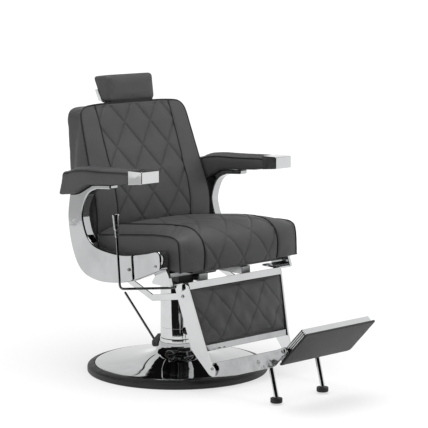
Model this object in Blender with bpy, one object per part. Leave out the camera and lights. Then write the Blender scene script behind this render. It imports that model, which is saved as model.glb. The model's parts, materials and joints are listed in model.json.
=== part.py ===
"""A hydraulic barber chair: round base, lifting column, swivelling seat with cast arms, reclining
backrest with headrest, and a linked legrest with a folding footplate.

Metres. The chair faces -Y, +X is the sitter's left and +Z is up. The origin is on the floor, at the
centre of the base.
"""

import math

import bmesh
import bpy
from mathutils import Vector

# Fits
GAP = 0.0003
PIN_PLAY = 0.0003
PIN_PROUD = 0.0015
CUT_PAST = 0.010

# Base
RING_RADIUS = 0.310
RING_WIDTH = 0.026
RING_HEIGHT = 0.028
FLOOR_PLATE_THICKNESS = 0.008
DOME_WALL = 0.0025
DOME_TOP_Z = 0.100
DOME_RIM_Z = 0.026
# Points of the dome's curve: the share of the way out from the collar to the rim, and the height
DOME_CURVE = (
    (0.966, 0.030),
    (0.737, 0.035),
    (0.469, 0.041),
    (0.267, 0.049),
    (0.133, 0.059),
    (0.054, 0.072),
    (0.020, 0.084),
)
COLLAR_RADIUS = 0.0600
COLLAR_TOP_Z = 0.113
PUMP_RADIUS = 0.0520
PUMP_TOP_Z = 0.300
PUMP_FLOOR = 0.022

# Column
SLEEVE_RADIUS = 0.0580
SLEEVE_WALL = 0.0030
SLEEVE_TOP_Z = 0.328
RAM_RADIUS = 0.0300
RAM_HEAD_RADIUS = 0.0620
RAM_HEAD_THICKNESS = 0.012

# Pump pedal
PEDAL_PIVOT = (0.106, 0.072)
PEDAL_TIP = (0.275, 0.231)
PEDAL_ROD_RADIUS = 0.0045
PEDAL_HUB_RADIUS = 0.0095
PEDAL_HUB_HALF = 0.0075
PEDAL_PIN_RADIUS = 0.0040
PEDAL_CHEEK = 0.005

# Seat frame
SWIVEL_PLATE_HALF = 0.100
SWIVEL_PLATE_THICKNESS = 0.010
RAIL_INNER_X = 0.078
RAIL_WIDTH = 0.040
RAIL_HEIGHT = 0.025
RAIL_FRONT_Y = -0.235
RAIL_REAR_Y = 0.100
CROSS_DEPTH = 0.040
CROSS_HEIGHT = 0.015
CROSS_FRONT_Y = -0.225
CROSS_MIDDLE_Y = -0.050
BOARD_HALF = 0.195
BOARD_THICKNESS = 0.012
BOARD_FRONT_Y = -0.285
BOARD_REAR_Y = 0.095
BRACKET_PLATE = 0.010
SHELF_Z = 0.357
SHELF_THICKNESS = 0.006
LUG_X = 0.2195
LUG_THICKNESS = 0.006
LUG_HALF = 0.013
LOCK_FRONT_Y = -0.215
LOCK_REAR_Y = -0.155
LOCK_BOTTOM_Z = 0.345
LOCK_XS = (-0.190, -0.125)

# Levels of the seat frame, each resting on the one below it
SWIVEL_Z = SLEEVE_TOP_Z + RAM_HEAD_THICKNESS + 2 * GAP
RAIL_Z = SWIVEL_Z + SWIVEL_PLATE_THICKNESS + GAP
CROSS_Z = RAIL_Z + RAIL_HEIGHT + GAP
BOARD_Z = CROSS_Z + CROSS_HEIGHT + GAP
CUSHION_Z = BOARD_Z + BOARD_THICKNESS + GAP

# Seat width, which sets the places of the arms and the width of the back
SEAT_HALF = 0.269

# Arms
ARM_CLEARANCE = 0.011
ARM_INNER_X = SEAT_HALF + ARM_CLEARANCE
ARM_THICKNESS = 0.035
ARM_BEVEL = 0.005
ARMREST_LAP = 0.001
ARMREST_INNER_X = SEAT_HALF - ARMREST_LAP
ARMREST_WIDTH = 0.073
ARMREST_CROWN = 0.010
CAP_REAR_Y = -0.140
CAP_FRONT_Y = -0.207
LIMB_TIP_Y = -0.020
LIMB_HEIGHT = 0.016

# Seat cushion
SEAT_CROWN = 0.004
BOLSTER_SWELL = 0.010
BOLSTER_CELLS = 3
QUILT_HALF = 0.175
SEAT_REAR_Y = 0.104
DIAMOND_WIDTH = 2 * QUILT_HALF / 3
DIAMOND_HEIGHT = 0.1675
DIAMOND_CELLS = 8
QUILT_CELLS = 3 * DIAMOND_CELLS
QUILT_DEPTH = 0.006
PIPING_DEPTH = 0.003

# Linkage: the crank and the legrest carry their link pins at the same offset from their own hinges
RECLINE_PIVOT = (0.152, 0.412)
RECLINE_AXIS = (0, *RECLINE_PIVOT)
LEGREST_PIVOT = (-0.2555, 0.346)
LEG_AXIS = (0, *LEGREST_PIVOT)
LINK_OFFSET = (-0.0035, -0.029)
LINK_KINK = (-0.103, 0.290)
LINK_HEIGHT = 0.022
LINK_INNER_X = 0.2015
LINK_THICKNESS = 0.005
LINK_PIN_RADIUS = 0.005
CRANK_INNER_X = 0.208
CRANK_THICKNESS = 0.006
CRANK_TOP_Z = 0.452
RECLINE_PIN_RADIUS = 0.007
RECLINE_COLLAR_RADIUS = 0.013
# How far the recline pin's core runs inside its collar, from the crank to the arm
RECLINE_CORE_SHARE = 0.75

# Backrest
BACK_BOTTOM_Z = 0.455
BACK_TOP_Z = 0.905
BACK_BOARD_LOW = (0.178, 0.430)
BACK_BOARD_HIGH = (0.262, 0.885)
BACK_BOARD_THICKNESS = 0.010
BACK_BOARD_HALF = CRANK_INNER_X - GAP
BACK_CORNER_RADIUS = 0.045
BACK_EDGE_DROP = 0.004
BACK_CROWN = 0.005
SHELL_CROWN = 0.010
SHELL_WALL = 0.008
SHELL_INSET = 0.0005
SHELL_POCKET_HALF = 0.170

# Headrest
HEADREST_HALF = 0.1055
HEADREST_BOTTOM_Z = 0.9095
HEADREST_TOP_Z = 1.0025
HEADREST_ROUND = 0.18
HEADREST_CROWN = 0.010
HEADREST_FRONT_YS = (0.2240, 0.2370)
HEADREST_REAR_LOW = (0.2770, 0.9110)
HEADREST_REAR_HIGH = (0.3192, 0.9913)
BAR_HALF = 0.030
BAR_THICKNESS = 0.006
BAR_BOTTOM_Z = 0.660
BAR_SLOT_PLAY = 0.001
GUIDE_WALL = 0.003
GUIDE_BOTTOM_Z = 0.720
GUIDE_TOP_Z = 0.880
BRACKET_HALF = 0.094
BRACKET_LOW_Z = 0.9075
BRACKET_HIGH_Z = 0.9520
BRACKET_THICKNESS = 0.0095

# Legrest: s runs down the pad face, n runs forward from it
PAD_TOP = (-0.2936, 0.344)
PAD_FOOT = (-0.3410, 0.163)
LEG_PLATE_X = 0.213
LEG_PLATE_TAPER = 0.115
LEG_PLATE_THICKNESS = 0.006
LEG_PAD_LENGTH = 0.187
LEG_PAD_THICKNESS = 0.018
LEG_PAD_CROWN = 0.008
LEG_PANEL_THICKNESS = 0.006
STRIP_HEIGHT = 0.023
STRIP_THICKNESS = 0.006
STRIP_SETBACK = 0.004

# Footrest
FOOT_ARM_INNER_X = 0.170
FOOT_ARM_THICKNESS = 0.0065
CROSSBAR = (-0.550, 0.140)
CROSSBAR_RADIUS = 0.008
POST_X = 0.107
POST_RADIUS = 0.0082
RUBBER_FOOT_RADIUS = 0.0195
RUBBER_FOOT_TOP_Z = 0.0204
RUBBER_FOOT_BOTTOM_Z = 0.005
RUBBER_FOOT_EDGE = 0.002

# Footplate: u runs up the plate from its rear edge, w runs through its thickness
PLATE_REAR = (-0.6490, 0.1430)
PLATE_FRONT = (-0.7592, 0.2560)
PLATE_HALF = 0.1615
PLATE_THICKNESS = 0.029
PLATE_PAD_THICKNESS = 0.008
PLATE_FRAME_INSET = 0.006
PLATE_CORNER = 0.006
TREAD_CORNER = 0.006
PLATE_PIVOT = (0.058, 0.0185)
PLATE_PIN_RADIUS = 0.005
PLATE_PIN_DEPTH = 0.032
PLATE_BOSS_RADIUS = 0.008
TREAD_THICKNESS = 0.003
TREAD_INSET = 0.016

# Recline lever
LEVER_CLEARANCE = 0.004
LEVER_X = -(ARMREST_INNER_X + ARMREST_WIDTH + LEVER_CLEARANCE)
LEVER_TOP = (LEVER_X, -0.088, 0.505)
LEVER_BEND = (LEVER_X, -0.101, 0.337)
LEVER_SHAFT = (-0.139, -0.125, 0.317)
LEVER_SHAFT_END_X = -0.088
LEVER_ROD_RADIUS = 0.0042
LEVER_FERRULE_RADIUS = 0.0064
LEVER_FERRULE_LENGTH = 0.024
LEVER_GRIP_RADIUS = 0.0118
LEVER_GRIP_TOP_Z = 0.582

SIDES = (("R", -1), ("L", 1))
ROUND_STEPS = 48
ROD_STEPS = 12
PIN_STEPS = 20


# Helpers for points and outlines


def clear_scene():
    for old in list(bpy.data.objects):
        bpy.data.objects.remove(old, do_unlink=True)


def circle(steps):
    return [2 * math.pi * k / steps for k in range(steps)]


def between(start, end, share):
    return start + (end - start) * share


def side_xs(sign, near, far):
    """The X range from near to far on one side of the chair, lower end first."""
    return sorted((sign * near, sign * far))


def interpolate(points, at):
    """Height of a line of (position, height) points, with the positions rising."""
    for (x0, y0), (x1, y1) in zip(points, points[1:]):
        if at <= x1:
            return between(y0, y1, (at - x0) / (x1 - x0))
    return points[-1][1]


def curve_through(points, steps):
    """A smooth curve through flat points, with this many steps from each point to the next."""
    last = len(points) - 1
    curve = []
    for i in range(last):
        a, b, c, d = (Vector(points[min(max(i + k, 0), last)]) for k in (-1, 0, 1, 2))
        for step in range(steps):
            t = step / steps
            bend = (2 * a - 5 * b + 4 * c - d) * t**2 + (3 * b - a - 3 * c + d) * t**3
            curve.append(0.5 * (2 * b + (c - a) * t + bend))
    curve.append(Vector(points[-1]))
    return curve


def along(curve, share):
    """The point this share of the length along a curve, and the direction there."""
    lengths = [(b - a).length for a, b in zip(curve, curve[1:])]
    left = share * sum(lengths)
    for a, b, length in zip(curve, curve[1:], lengths):
        if left <= length:
            break
        left -= length
    return a.lerp(b, min(left / length, 1)), (b - a).normalized()


def rounded(corners, steps=4):
    """A closed outline from (x, y, radius) corners, each rounded by its radius."""
    outline = []
    count = len(corners)
    for i, (x, y, radius) in enumerate(corners):
        here = Vector((x, y))
        back = (Vector(corners[i - 1][:2]) - here).normalized()
        on = (Vector(corners[(i + 1) % count][:2]) - here).normalized()
        half = back.angle(on) / 2
        centre = here + (back + on).normalized() * (radius / math.sin(half))
        start = here + back * (radius / math.tan(half)) - centre
        end = here + on * (radius / math.tan(half)) - centre
        if not radius:
            outline.append(here)
            continue
        for step in range(steps + 1):
            outline.append(centre + start.normalized().slerp(end.normalized(), step / steps) * radius)
    return outline


# Helpers for solids


def add_part(name, verts, faces, material, pivot=(0, 0, 0), smooth=True):
    """A part from points in the chair's frame, with its origin on its joint's axis."""
    mesh = bpy.data.meshes.new(name)
    mesh.from_pydata([Vector(v) - Vector(pivot) for v in verts], [], faces)
    bm = bmesh.new()
    bm.from_mesh(mesh)
    bmesh.ops.recalc_face_normals(bm, faces=bm.faces)
    bm.to_mesh(mesh)
    bm.free()
    part = bpy.data.objects.new(name, mesh)
    bpy.context.scene.collection.objects.link(part)
    part.location = pivot
    if material:
        mesh.materials.append(material)
    if smooth:
        mesh.shade_smooth()
        mesh.set_sharp_from_angle(angle=math.radians(35))
    return part


def loft(sections):
    """Points and faces of a solid through equal closed sections, with flat ends."""
    size = len(sections[0])
    verts = [v for section in sections for v in section]
    faces = [list(range(size))[::-1], [len(verts) - size + k for k in range(size)]]
    for ring in range(len(sections) - 1):
        for k in range(size):
            near, far = ring * size + k, ring * size + (k + 1) % size
            faces.append((near, far, far + size, near + size))
    return verts, faces


def prism_x(outline, x0, x1):
    return loft([[(x, y, z) for y, z in outline] for x in (x0, x1)])


def box(x0, x1, y0, y1, z0, z1):
    return prism_x([(y0, z0), (y1, z0), (y1, z1), (y0, z1)], x0, x1)


def turned(profile, steps, place):
    """A solid of revolution from a closed (radius, height) outline that stays off the axis."""
    size = len(profile)
    verts = []
    faces = []
    for step, angle in enumerate(circle(steps)):
        verts += [place(r * math.cos(angle), r * math.sin(angle), h) for r, h in profile]
        start, after = step * size, (step + 1) % steps * size
        for k in range(size):
            faces.append((start + k, start + (k + 1) % size, after + (k + 1) % size, after + k))
    return verts, faces


def upright(x, y, h):
    return (x, y, h)


def rod(points, radius, steps):
    """A round bar along a path, square across each bend."""
    path = [Vector(p) for p in points]
    sections = []
    side = Vector((0.31, 0.95, 0.05))
    for i, here in enumerate(path):
        before = (here - path[i - 1]).normalized() if i else (path[1] - here).normalized()
        after = (path[i + 1] - here).normalized() if i < len(path) - 1 else before
        ahead = (before + after).normalized()
        side = (side - ahead * side.dot(ahead)).normalized()
        up = ahead.cross(side)
        stretch = 1 / max(before.dot(ahead), 0.5)
        flat = before.cross(after)
        ring = []
        for angle in circle(steps):
            spoke = side * math.cos(angle) + up * math.sin(angle)
            if flat.length > 1e-6:
                widen = flat.normalized().cross(ahead)
                spoke += widen * spoke.dot(widen) * (stretch - 1)
            ring.append(here + spoke * radius)
        sections.append(ring)
    return loft(sections)


def pin_x(centre, radius, x0, x1):
    y, z = centre
    return rod([(x0, y, z), (x1, y, z)], radius, PIN_STEPS)


def helper(name, shape):
    """A hidden solid that a Boolean uses."""
    part = add_part(name, *shape, None, smooth=False)
    part.hide_render = True
    part.display_type = "WIRE"
    return part


def combine(part, operation, shape):
    tool = part.modifiers.new(operation.lower(), "BOOLEAN")
    tool.operation = operation
    tool.solver = "EXACT"
    tool.object = helper(part.name + "_tool%d" % len(part.modifiers), shape)


def bevel(part, width, segments=2):
    edge = part.modifiers.new("edges", "BEVEL")
    edge.width = width
    edge.segments = segments
    edge.limit_method = "ANGLE"
    edge.angle_limit = math.radians(40)


def grid(rows, cols, at):
    """Points and triangles of a sheet of cells, with the diagonals in alternate directions."""
    verts = [at(i, j) for j in range(rows + 1) for i in range(cols + 1)]
    width = cols + 1
    faces = []
    for j in range(rows):
        for i in range(cols):
            a = j * width + i
            if (i + j) % 2:
                faces += [(a, a + 1, a + width), (a + 1, a + width + 1, a + width)]
            else:
                faces += [(a, a + 1, a + width + 1), (a, a + width + 1, a + width)]
    return verts, faces


def pad(rows, cols, front, back):
    """A cushion: a grid of front points, walls to the rim of the back, and a flat back."""
    verts, faces = grid(rows, cols, front)
    width = cols + 1
    rim = [(i, 0) for i in range(cols)] + [(cols, j) for j in range(rows)]
    rim += [(i, rows) for i in range(cols, 0, -1)] + [(0, j) for j in range(rows, 0, -1)]
    first = len(verts)
    verts += [back(i, j) for i, j in rim]
    count = len(rim)
    for k, (i, j) in enumerate(rim):
        on_i, on_j = rim[(k + 1) % count]
        faces.append((j * width + i, on_j * width + on_i, first + (k + 1) % count, first + k))
    faces.append(list(range(first, first + count)))
    return verts, faces


def quilt(across, down):
    """How deep the diamond stitching draws the cover in, at this place on a quilted panel."""
    one = across / DIAMOND_WIDTH + down / DIAMOND_HEIGHT
    other = across / DIAMOND_WIDTH - down / DIAMOND_HEIGHT
    off = min(abs(line - round(line)) for line in (one, other))
    return QUILT_DEPTH * max(0.0, 1 - off * DIAMOND_CELLS / 2)


# Materials


def material(name, colour, roughness, metallic=0.0):
    made = bpy.data.materials.new(name)
    made.use_nodes = True
    shader = made.node_tree.nodes["Principled BSDF"]
    shader.inputs["Base Color"].default_value = (*colour, 1)
    shader.inputs["Roughness"].default_value = roughness
    shader.inputs["Metallic"].default_value = metallic
    return made


def make_materials():
    return {
        "chrome": material("chrome", (0.78, 0.79, 0.80), 0.08, 1.0),
        "steel": material("brushed_steel", (0.55, 0.56, 0.57), 0.32, 1.0),
        "black": material("black_enamel", (0.02, 0.02, 0.022), 0.40),
        "rubber": material("dark_rubber", (0.055, 0.055, 0.057), 0.65),
        "leather": material("grey_leather", (0.105, 0.105, 0.107), 0.50),
        "board": material("plywood", (0.36, 0.25, 0.15), 0.70),
        "grip": material("satin_grip", (0.62, 0.63, 0.64), 0.22, 1.0),
    }


# Base


def build_base(mats):
    inner = RING_RADIUS - RING_WIDTH
    section = rounded(
        [
            (inner, 0, 0),
            (RING_RADIUS, 0, 0.003),
            (RING_RADIUS, RING_HEIGHT - 0.004, 0.012),
            (RING_RADIUS - 0.010, RING_HEIGHT, 0.008),
            (inner, RING_HEIGHT, 0.002),
        ],
        2,
    )
    add_part("base_ring", *turned(section, ROUND_STEPS, upright), mats["rubber"])

    disc_radius = inner - GAP
    disc = [(disc_radius * math.cos(a), disc_radius * math.sin(a)) for a in circle(ROUND_STEPS)]
    plate = loft([[(x, y, z) for x, y in disc] for z in (0.0, FLOOR_PLATE_THICKNESS)])
    add_part("base_plate", *plate, mats["steel"])

    low = FLOOR_PLATE_THICKNESS + GAP
    throat = COLLAR_RADIUS + GAP
    trumpet = [(disc_radius, DOME_RIM_Z)]
    trumpet += [(between(throat, disc_radius, share), z) for share, z in DOME_CURVE]
    trumpet.append((throat + DOME_WALL, DOME_TOP_Z))
    outside = [(disc_radius, low)] + [tuple(p) for p in curve_through(trumpet, 2)]
    inside = [(throat, DOME_TOP_Z)]
    inside += [(r - DOME_WALL / 2, z - DOME_WALL) for r, z in reversed(trumpet[1:-1])]
    inside.append((disc_radius - DOME_WALL, low))
    add_part("base_dome", *turned(outside + inside, ROUND_STEPS, upright), mats["chrome"])

    bore = RAM_RADIUS + GAP
    pump = [(PUMP_RADIUS, low), (PUMP_RADIUS, PUMP_TOP_Z), (bore, PUMP_TOP_Z), (bore, low)]
    add_part("pump_cylinder", *turned(pump, ROUND_STEPS, upright), mats["chrome"])

    collar = rounded(
        [
            (PUMP_RADIUS + GAP, 0.070, 0),
            (COLLAR_RADIUS, 0.070, 0),
            (COLLAR_RADIUS, COLLAR_TOP_Z, 0.002),
            (PUMP_RADIUS + GAP, COLLAR_TOP_Z, 0),
        ],
        2,
    )
    add_part("pump_collar", *turned(collar, ROUND_STEPS, upright), mats["chrome"])


def build_pedal(mats):
    y, z = PEDAL_PIVOT
    half = PEDAL_HUB_HALF + GAP + PEDAL_CHEEK
    root = COLLAR_RADIUS + GAP
    cheek = rounded(
        [
            (root, 0.1010, 0),
            (0.0800, 0.1010, 0.004),
            (y - 0.011, z - 0.008, 0.004),
            (y + 0.012, z - 0.010, 0.008),
            (y + 0.012, z + 0.010, 0.008),
            (0.0860, COLLAR_TOP_Z, 0.008),
            (root, COLLAR_TOP_Z, 0),
        ],
        3,
    )
    bracket = add_part("pedal_bracket", *prism_x(cheek, -half, half), mats["black"])
    slot = PEDAL_HUB_HALF + GAP
    combine(bracket, "DIFFERENCE", box(-slot, slot, 0.0830, 0.1300, 0.050, 0.130))
    combine(bracket, "UNION", pin_x(PEDAL_PIVOT, PEDAL_PIN_RADIUS, -half - 0.002, half + 0.002))

    def hub_place(a, b, h):
        return (h, y + a, z + b)

    bore = PEDAL_PIN_RADIUS + PIN_PLAY
    hub = [(PEDAL_HUB_RADIUS, -PEDAL_HUB_HALF), (PEDAL_HUB_RADIUS, PEDAL_HUB_HALF)]
    hub += [(bore, PEDAL_HUB_HALF), (bore, -PEDAL_HUB_HALF)]
    pedal = add_part("pedal_rod", *turned(hub, 24, hub_place), mats["chrome"], (0, y, z))
    tip = Vector((0, *PEDAL_TIP))
    root = Vector((0, y, z))
    start = root.lerp(tip, (bore + PEDAL_HUB_RADIUS) / 2 / (tip - root).length)
    combine(pedal, "UNION", rod([start, tip], PEDAL_ROD_RADIUS, ROD_STEPS))


# Column


def build_column(mats):
    low = COLLAR_TOP_Z + 2 * GAP
    inner = SLEEVE_RADIUS - SLEEVE_WALL
    sleeve = [(inner, low), (SLEEVE_RADIUS, low), (SLEEVE_RADIUS, SLEEVE_TOP_Z), (inner, SLEEVE_TOP_Z)]
    add_part("column_sleeve", *turned(sleeve, ROUND_STEPS, upright), mats["chrome"])
    ram = rod([(0, 0, PUMP_FLOOR + 0.018), (0, 0, SLEEVE_TOP_Z)], RAM_RADIUS, ROUND_STEPS)
    add_part("lift_ram", *ram, mats["chrome"])
    head_low = SLEEVE_TOP_Z + GAP
    head = rod([(0, 0, head_low), (0, 0, head_low + RAM_HEAD_THICKNESS)], RAM_HEAD_RADIUS, ROUND_STEPS)
    add_part("ram_head", *head, mats["steel"])


# Seat frame


def build_seat_frame(mats):
    reach = SWIVEL_PLATE_HALF
    corners = ((-reach, -reach), (reach, -reach), (reach, reach), (-reach, reach))
    outline = rounded([(x, y, 0.020) for x, y in corners])
    top = SWIVEL_Z + SWIVEL_PLATE_THICKNESS
    plate = loft([[(x, y, z) for x, y in outline] for z in (SWIVEL_Z, top)])
    add_part("swivel_plate", *plate, mats["black"])
    for side, sign in SIDES:
        ends = side_xs(sign, RAIL_INNER_X, RAIL_INNER_X + RAIL_WIDTH)
        rail = box(*ends, RAIL_FRONT_Y, RAIL_REAR_Y, RAIL_Z, RAIL_Z + RAIL_HEIGHT)
        add_part("seat_rail_" + side, *rail, mats["steel"], smooth=False)
    to_bracket = ARM_INNER_X - 2 * GAP - BRACKET_PLATE
    to_arm = ARM_INNER_X - GAP
    for name, half, y in (
        ("seat_cross_front", to_bracket, CROSS_FRONT_Y),
        ("seat_cross_middle", to_arm, CROSS_MIDDLE_Y),
    ):
        bar = box(-half, half, y, y + CROSS_DEPTH, CROSS_Z, CROSS_Z + CROSS_HEIGHT)
        add_part(name, *bar, mats["steel"], smooth=False)
    board = box(-BOARD_HALF, BOARD_HALF, BOARD_FRONT_Y, BOARD_REAR_Y, BOARD_Z, BOARD_Z + BOARD_THICKNESS)
    add_part("seat_board", *board, mats["black"], smooth=False)
    lock = rounded(
        [
            (LOCK_FRONT_Y, LOCK_BOTTOM_Z, 0.006),
            (LOCK_REAR_Y, LOCK_BOTTOM_Z, 0.006),
            (LOCK_REAR_Y, CROSS_Z - GAP, 0),
            (LOCK_FRONT_Y, CROSS_Z - GAP, 0),
        ]
    )
    add_part("recline_lock", *prism_x(lock, *LOCK_XS), mats["black"])


def build_front_brackets(mats):
    y, z = LEGREST_PIVOT
    outer = ARM_INNER_X - GAP
    cheek = rounded(
        [
            (-0.276, SHELF_Z, 0.006),
            (-0.178, SHELF_Z, 0.006),
            (-0.200, 0.385, 0.020),
            (-0.205, 0.408, 0.006),
            (-0.240, 0.425, 0.010),
            (-0.262, 0.396, 0.020),
        ]
    )
    shelf_top = SHELF_Z + SHELF_THICKNESS
    lug_top = SHELF_Z + SHELF_THICKNESS / 2
    lug = rounded(
        [
            (y - LUG_HALF, z - LUG_HALF, 0.012),
            (y + LUG_HALF, z - LUG_HALF, 0.012),
            (y + LUG_HALF, lug_top, 0),
            (y - LUG_HALF, lug_top, 0),
        ]
    )
    for side, sign in SIDES:
        cheek_xs = side_xs(sign, outer, outer - BRACKET_PLATE)
        bracket = add_part("front_bracket_" + side, *prism_x(cheek, *cheek_xs), mats["chrome"])
        shelf_xs = side_xs(sign, LUG_X, outer - BRACKET_PLATE / 2)
        combine(bracket, "UNION", box(*shelf_xs, -0.272, -0.190, SHELF_Z + GAP, shelf_top))
        lug_xs = side_xs(sign, LUG_X, LUG_X + LUG_THICKNESS)
        combine(bracket, "UNION", prism_x(lug, *lug_xs))
        pin_xs = side_xs(sign, LEG_PLATE_X - PIN_PROUD, LUG_X + LUG_THICKNESS / 2)
        combine(bracket, "UNION", pin_x(LEGREST_PIVOT, LINK_PIN_RADIUS, *pin_xs))


# Arms


def armrest_bottom(y):
    front = [(-0.210, 0.6872), (-0.140, 0.6800), (-0.091, 0.6730), (0.072, 0.6600)]
    return interpolate(front + [(0.138, 0.6270), (0.157, 0.6220), (0.215, 0.6155)], y)


def arm_outline():
    outer = [
        (0.1985, 0.570),
        (0.2000, 0.534),
        (0.1900, 0.470),
        (0.1670, 0.408),
        (0.1330, 0.3655),
        (0.0835, 0.3455),
        (0.0050, 0.3405),
        (-0.1110, 0.358),
        (-0.2350, 0.4030),
        (-0.2590, 0.4140),
        (-0.2640, 0.4280),
        (-0.2640, 0.4550),
        (-0.2570, 0.4700),
        (-0.2400, 0.4740),
        (-0.1870, 0.4610),
        (-0.0735, 0.4430),
        (0.0420, 0.4510),
        (0.0950, 0.4780),
        (0.1200, 0.5270),
        (0.1230, 0.5650),
        (0.1070, 0.6080),
        (0.0850, 0.6320),
        (0.0500, 0.6460),
    ]
    outline = [tuple(p) for p in curve_through(outer, 2)]
    outline.append((LIMB_TIP_Y, armrest_bottom(LIMB_TIP_Y) - LIMB_HEIGHT))
    for y in (LIMB_TIP_Y, 0.072, 0.138, 0.157, 0.1900):
        outline.append((y, armrest_bottom(y) - GAP))
    return outline


def armrest_top(y):
    front = [(-0.210, 0.7260), (-0.140, 0.7210), (-0.098, 0.7195), (0.000, 0.7140)]
    return interpolate(front + [(0.086, 0.7126), (0.144, 0.7060), (0.215, 0.6850)], y)


def armrest_section(y, lean, sign):
    """A ring around the armrest: flat below, crowned above. lean slants the rear end."""
    inner, outer = ARMREST_INNER_X, ARMREST_INNER_X + ARMREST_WIDTH
    low, high = armrest_bottom(y), armrest_top(y)
    soft = 0.006
    ring = [(inner + soft, low), (outer - soft, low), (outer, low + soft), (outer, high - soft)]
    for step in range(1, 8):
        share = step / 8
        rise = ARMREST_CROWN * math.sin(math.pi * share) ** 0.7
        ring.append((between(outer - 0.002, inner + 0.002, share), high - 0.002 + rise * 0.9))
    ring += [(inner, high - soft), (inner, low + soft)]
    return [(sign * x, y + lean * (z - low), z) for x, z in ring]


def build_arms(mats):
    for side, sign in SIDES:
        xs = side_xs(sign, ARM_INNER_X, ARM_INNER_X + ARM_THICKNESS)
        frame = add_part("arm_frame_" + side, *prism_x(arm_outline(), *xs), mats["chrome"])
        bevel(frame, ARM_BEVEL)

        stations = [(0.212, -0.31), (0.205, -0.28), (0.185, -0.18), (0.160, -0.05), (0.138, 0)]
        stations += [(y, 0) for y in (0.105, 0.072, 0.030, -0.030, -0.091, -0.130)]
        stations.append((CAP_REAR_Y + GAP, 0))
        sections = [armrest_section(y, lean, sign) for y, lean in stations]
        add_part("armrest_pad_" + side, *loft(sections), mats["leather"])

        inner, outer = ARMREST_INNER_X - 0.001, ARMREST_INNER_X + ARMREST_WIDTH + 0.001
        block = rounded(
            [
                (CAP_FRONT_Y, armrest_bottom(CAP_FRONT_Y), 0.004),
                (CAP_REAR_Y, armrest_bottom(CAP_REAR_Y), 0),
                (CAP_REAR_Y, armrest_top(CAP_REAR_Y) + 0.006, 0),
                (CAP_FRONT_Y, armrest_top(CAP_FRONT_Y) + 0.002, 0.004),
            ]
        )
        cap = add_part("armrest_cap_" + side, *prism_x(block, *side_xs(sign, inner, outer)), mats["chrome"])
        bevel(cap, 0.002)


# Seat cushion


def build_seat_cushion(mats):
    top = [(SEAT_REAR_Y, 0.514), (-0.058, 0.5296), (-0.158, 0.539), (-0.237, 0.541)]
    nose = [(-0.285, 0.526), (-0.312, 0.498), (-0.318, 0.455), (-0.316, CUSHION_Z)]
    middle = curve_through(top + nose, 6)
    side_top = [(SEAT_REAR_Y, 0.482), (-0.058, 0.500), (-0.158, 0.509), (-0.237, 0.5155)]
    side_nose = [(-0.276, 0.513), (-0.297, 0.496), (-0.304, 0.455), (-0.309, CUSHION_Z)]
    edge = curve_through(side_top + side_nose, 6)
    cols = QUILT_CELLS + 2 * BOLSTER_CELLS
    length = sum((b - a).length for a, b in zip(middle, middle[1:]))
    rows = round(length / (DIAMOND_HEIGHT / DIAMOND_CELLS))

    def front(i, j):
        share = j / rows
        (my, mz), direction = along(middle, share)
        out = Vector((direction.y, -direction.x))
        inset = min(i, cols - i)
        sign = -1 if i < cols / 2 else 1
        if inset >= BOLSTER_CELLS:
            x = between(-QUILT_HALF, QUILT_HALF, (i - BOLSTER_CELLS) / QUILT_CELLS)
            rise = SEAT_CROWN * (1 - (x / QUILT_HALF) ** 2)
            sink = quilt(x, share * length) if inset > BOLSTER_CELLS else PIPING_DEPTH
            if j in (0, rows):
                rise, sink = 0, 0
            return (x, my + out.x * (rise - sink), mz + out.y * (rise - sink))
        (ey, ez), _ = along(edge, share)
        part = inset / BOLSTER_CELLS
        swell = 0 if j in (0, rows) else BOLSTER_SWELL * math.sin(math.pi * part)
        return (
            sign * between(SEAT_HALF, QUILT_HALF, part),
            between(ey, my, part) + out.x * swell,
            between(ez, mz, part) + out.y * swell,
        )

    verts, faces = grid(rows, cols, front)
    width = cols + 1
    corner = len(verts)
    verts += [(-SEAT_HALF, SEAT_REAR_Y, CUSHION_Z), (SEAT_HALF, SEAT_REAR_Y, CUSHION_Z)]
    rear = [corner + 1, corner] + list(range(width))
    bottom = [corner, corner + 1] + [rows * width + i for i in range(cols, -1, -1)]
    right = [corner] + [j * width for j in range(rows, -1, -1)]
    left = [corner + 1] + [j * width + cols for j in range(rows + 1)]
    faces += [rear, bottom, right, left]
    add_part("seat_cushion", verts, faces, mats["leather"])


# Backrest


def back_front_y(z):
    low = [(0.455, 0.118), (0.500, 0.1145), (0.550, 0.1150), (0.600, 0.1215), (0.650, 0.1380)]
    high = [(0.700, 0.1590), (0.800, 0.1930), (0.892, 0.2255), (0.910, 0.2320)]
    return interpolate(low + high, z)


def back_rear_y(z):
    return interpolate([(0.440, 0.218), (0.550, 0.240), (0.692, 0.266), (0.857, 0.291), (0.910, 0.297)], z)


def back_half(z):
    inset = interpolate([(0.440, 0.009), (0.590, 0.008), (0.700, 0.014), (0.885, 0.028), (0.910, 0.031)], z)
    half = SEAT_HALF - inset
    over = z - (BACK_TOP_Z - BACK_CORNER_RADIUS)
    if over > 0:
        half -= BACK_CORNER_RADIUS - math.sqrt(max(BACK_CORNER_RADIUS**2 - over**2, 0))
    return half


def board_y(z, behind=0.0):
    share = (z - BACK_BOARD_LOW[1]) / (BACK_BOARD_HIGH[1] - BACK_BOARD_LOW[1])
    return between(BACK_BOARD_LOW[0], BACK_BOARD_HIGH[0], share) + behind


def back_heights():
    """Rows of the backrest cushion: one per stitching cell, closer together over the top edge."""
    step = DIAMOND_HEIGHT / DIAMOND_CELLS
    highest = BACK_TOP_Z - 0.030
    count = int((highest - BACK_BOTTOM_Z) / step)
    heights = [highest - k * step for k in range(count, -1, -1)]
    return [BACK_BOTTOM_Z] + heights + [BACK_TOP_Z - 0.012, BACK_TOP_Z - 0.003, BACK_TOP_Z]


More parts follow.
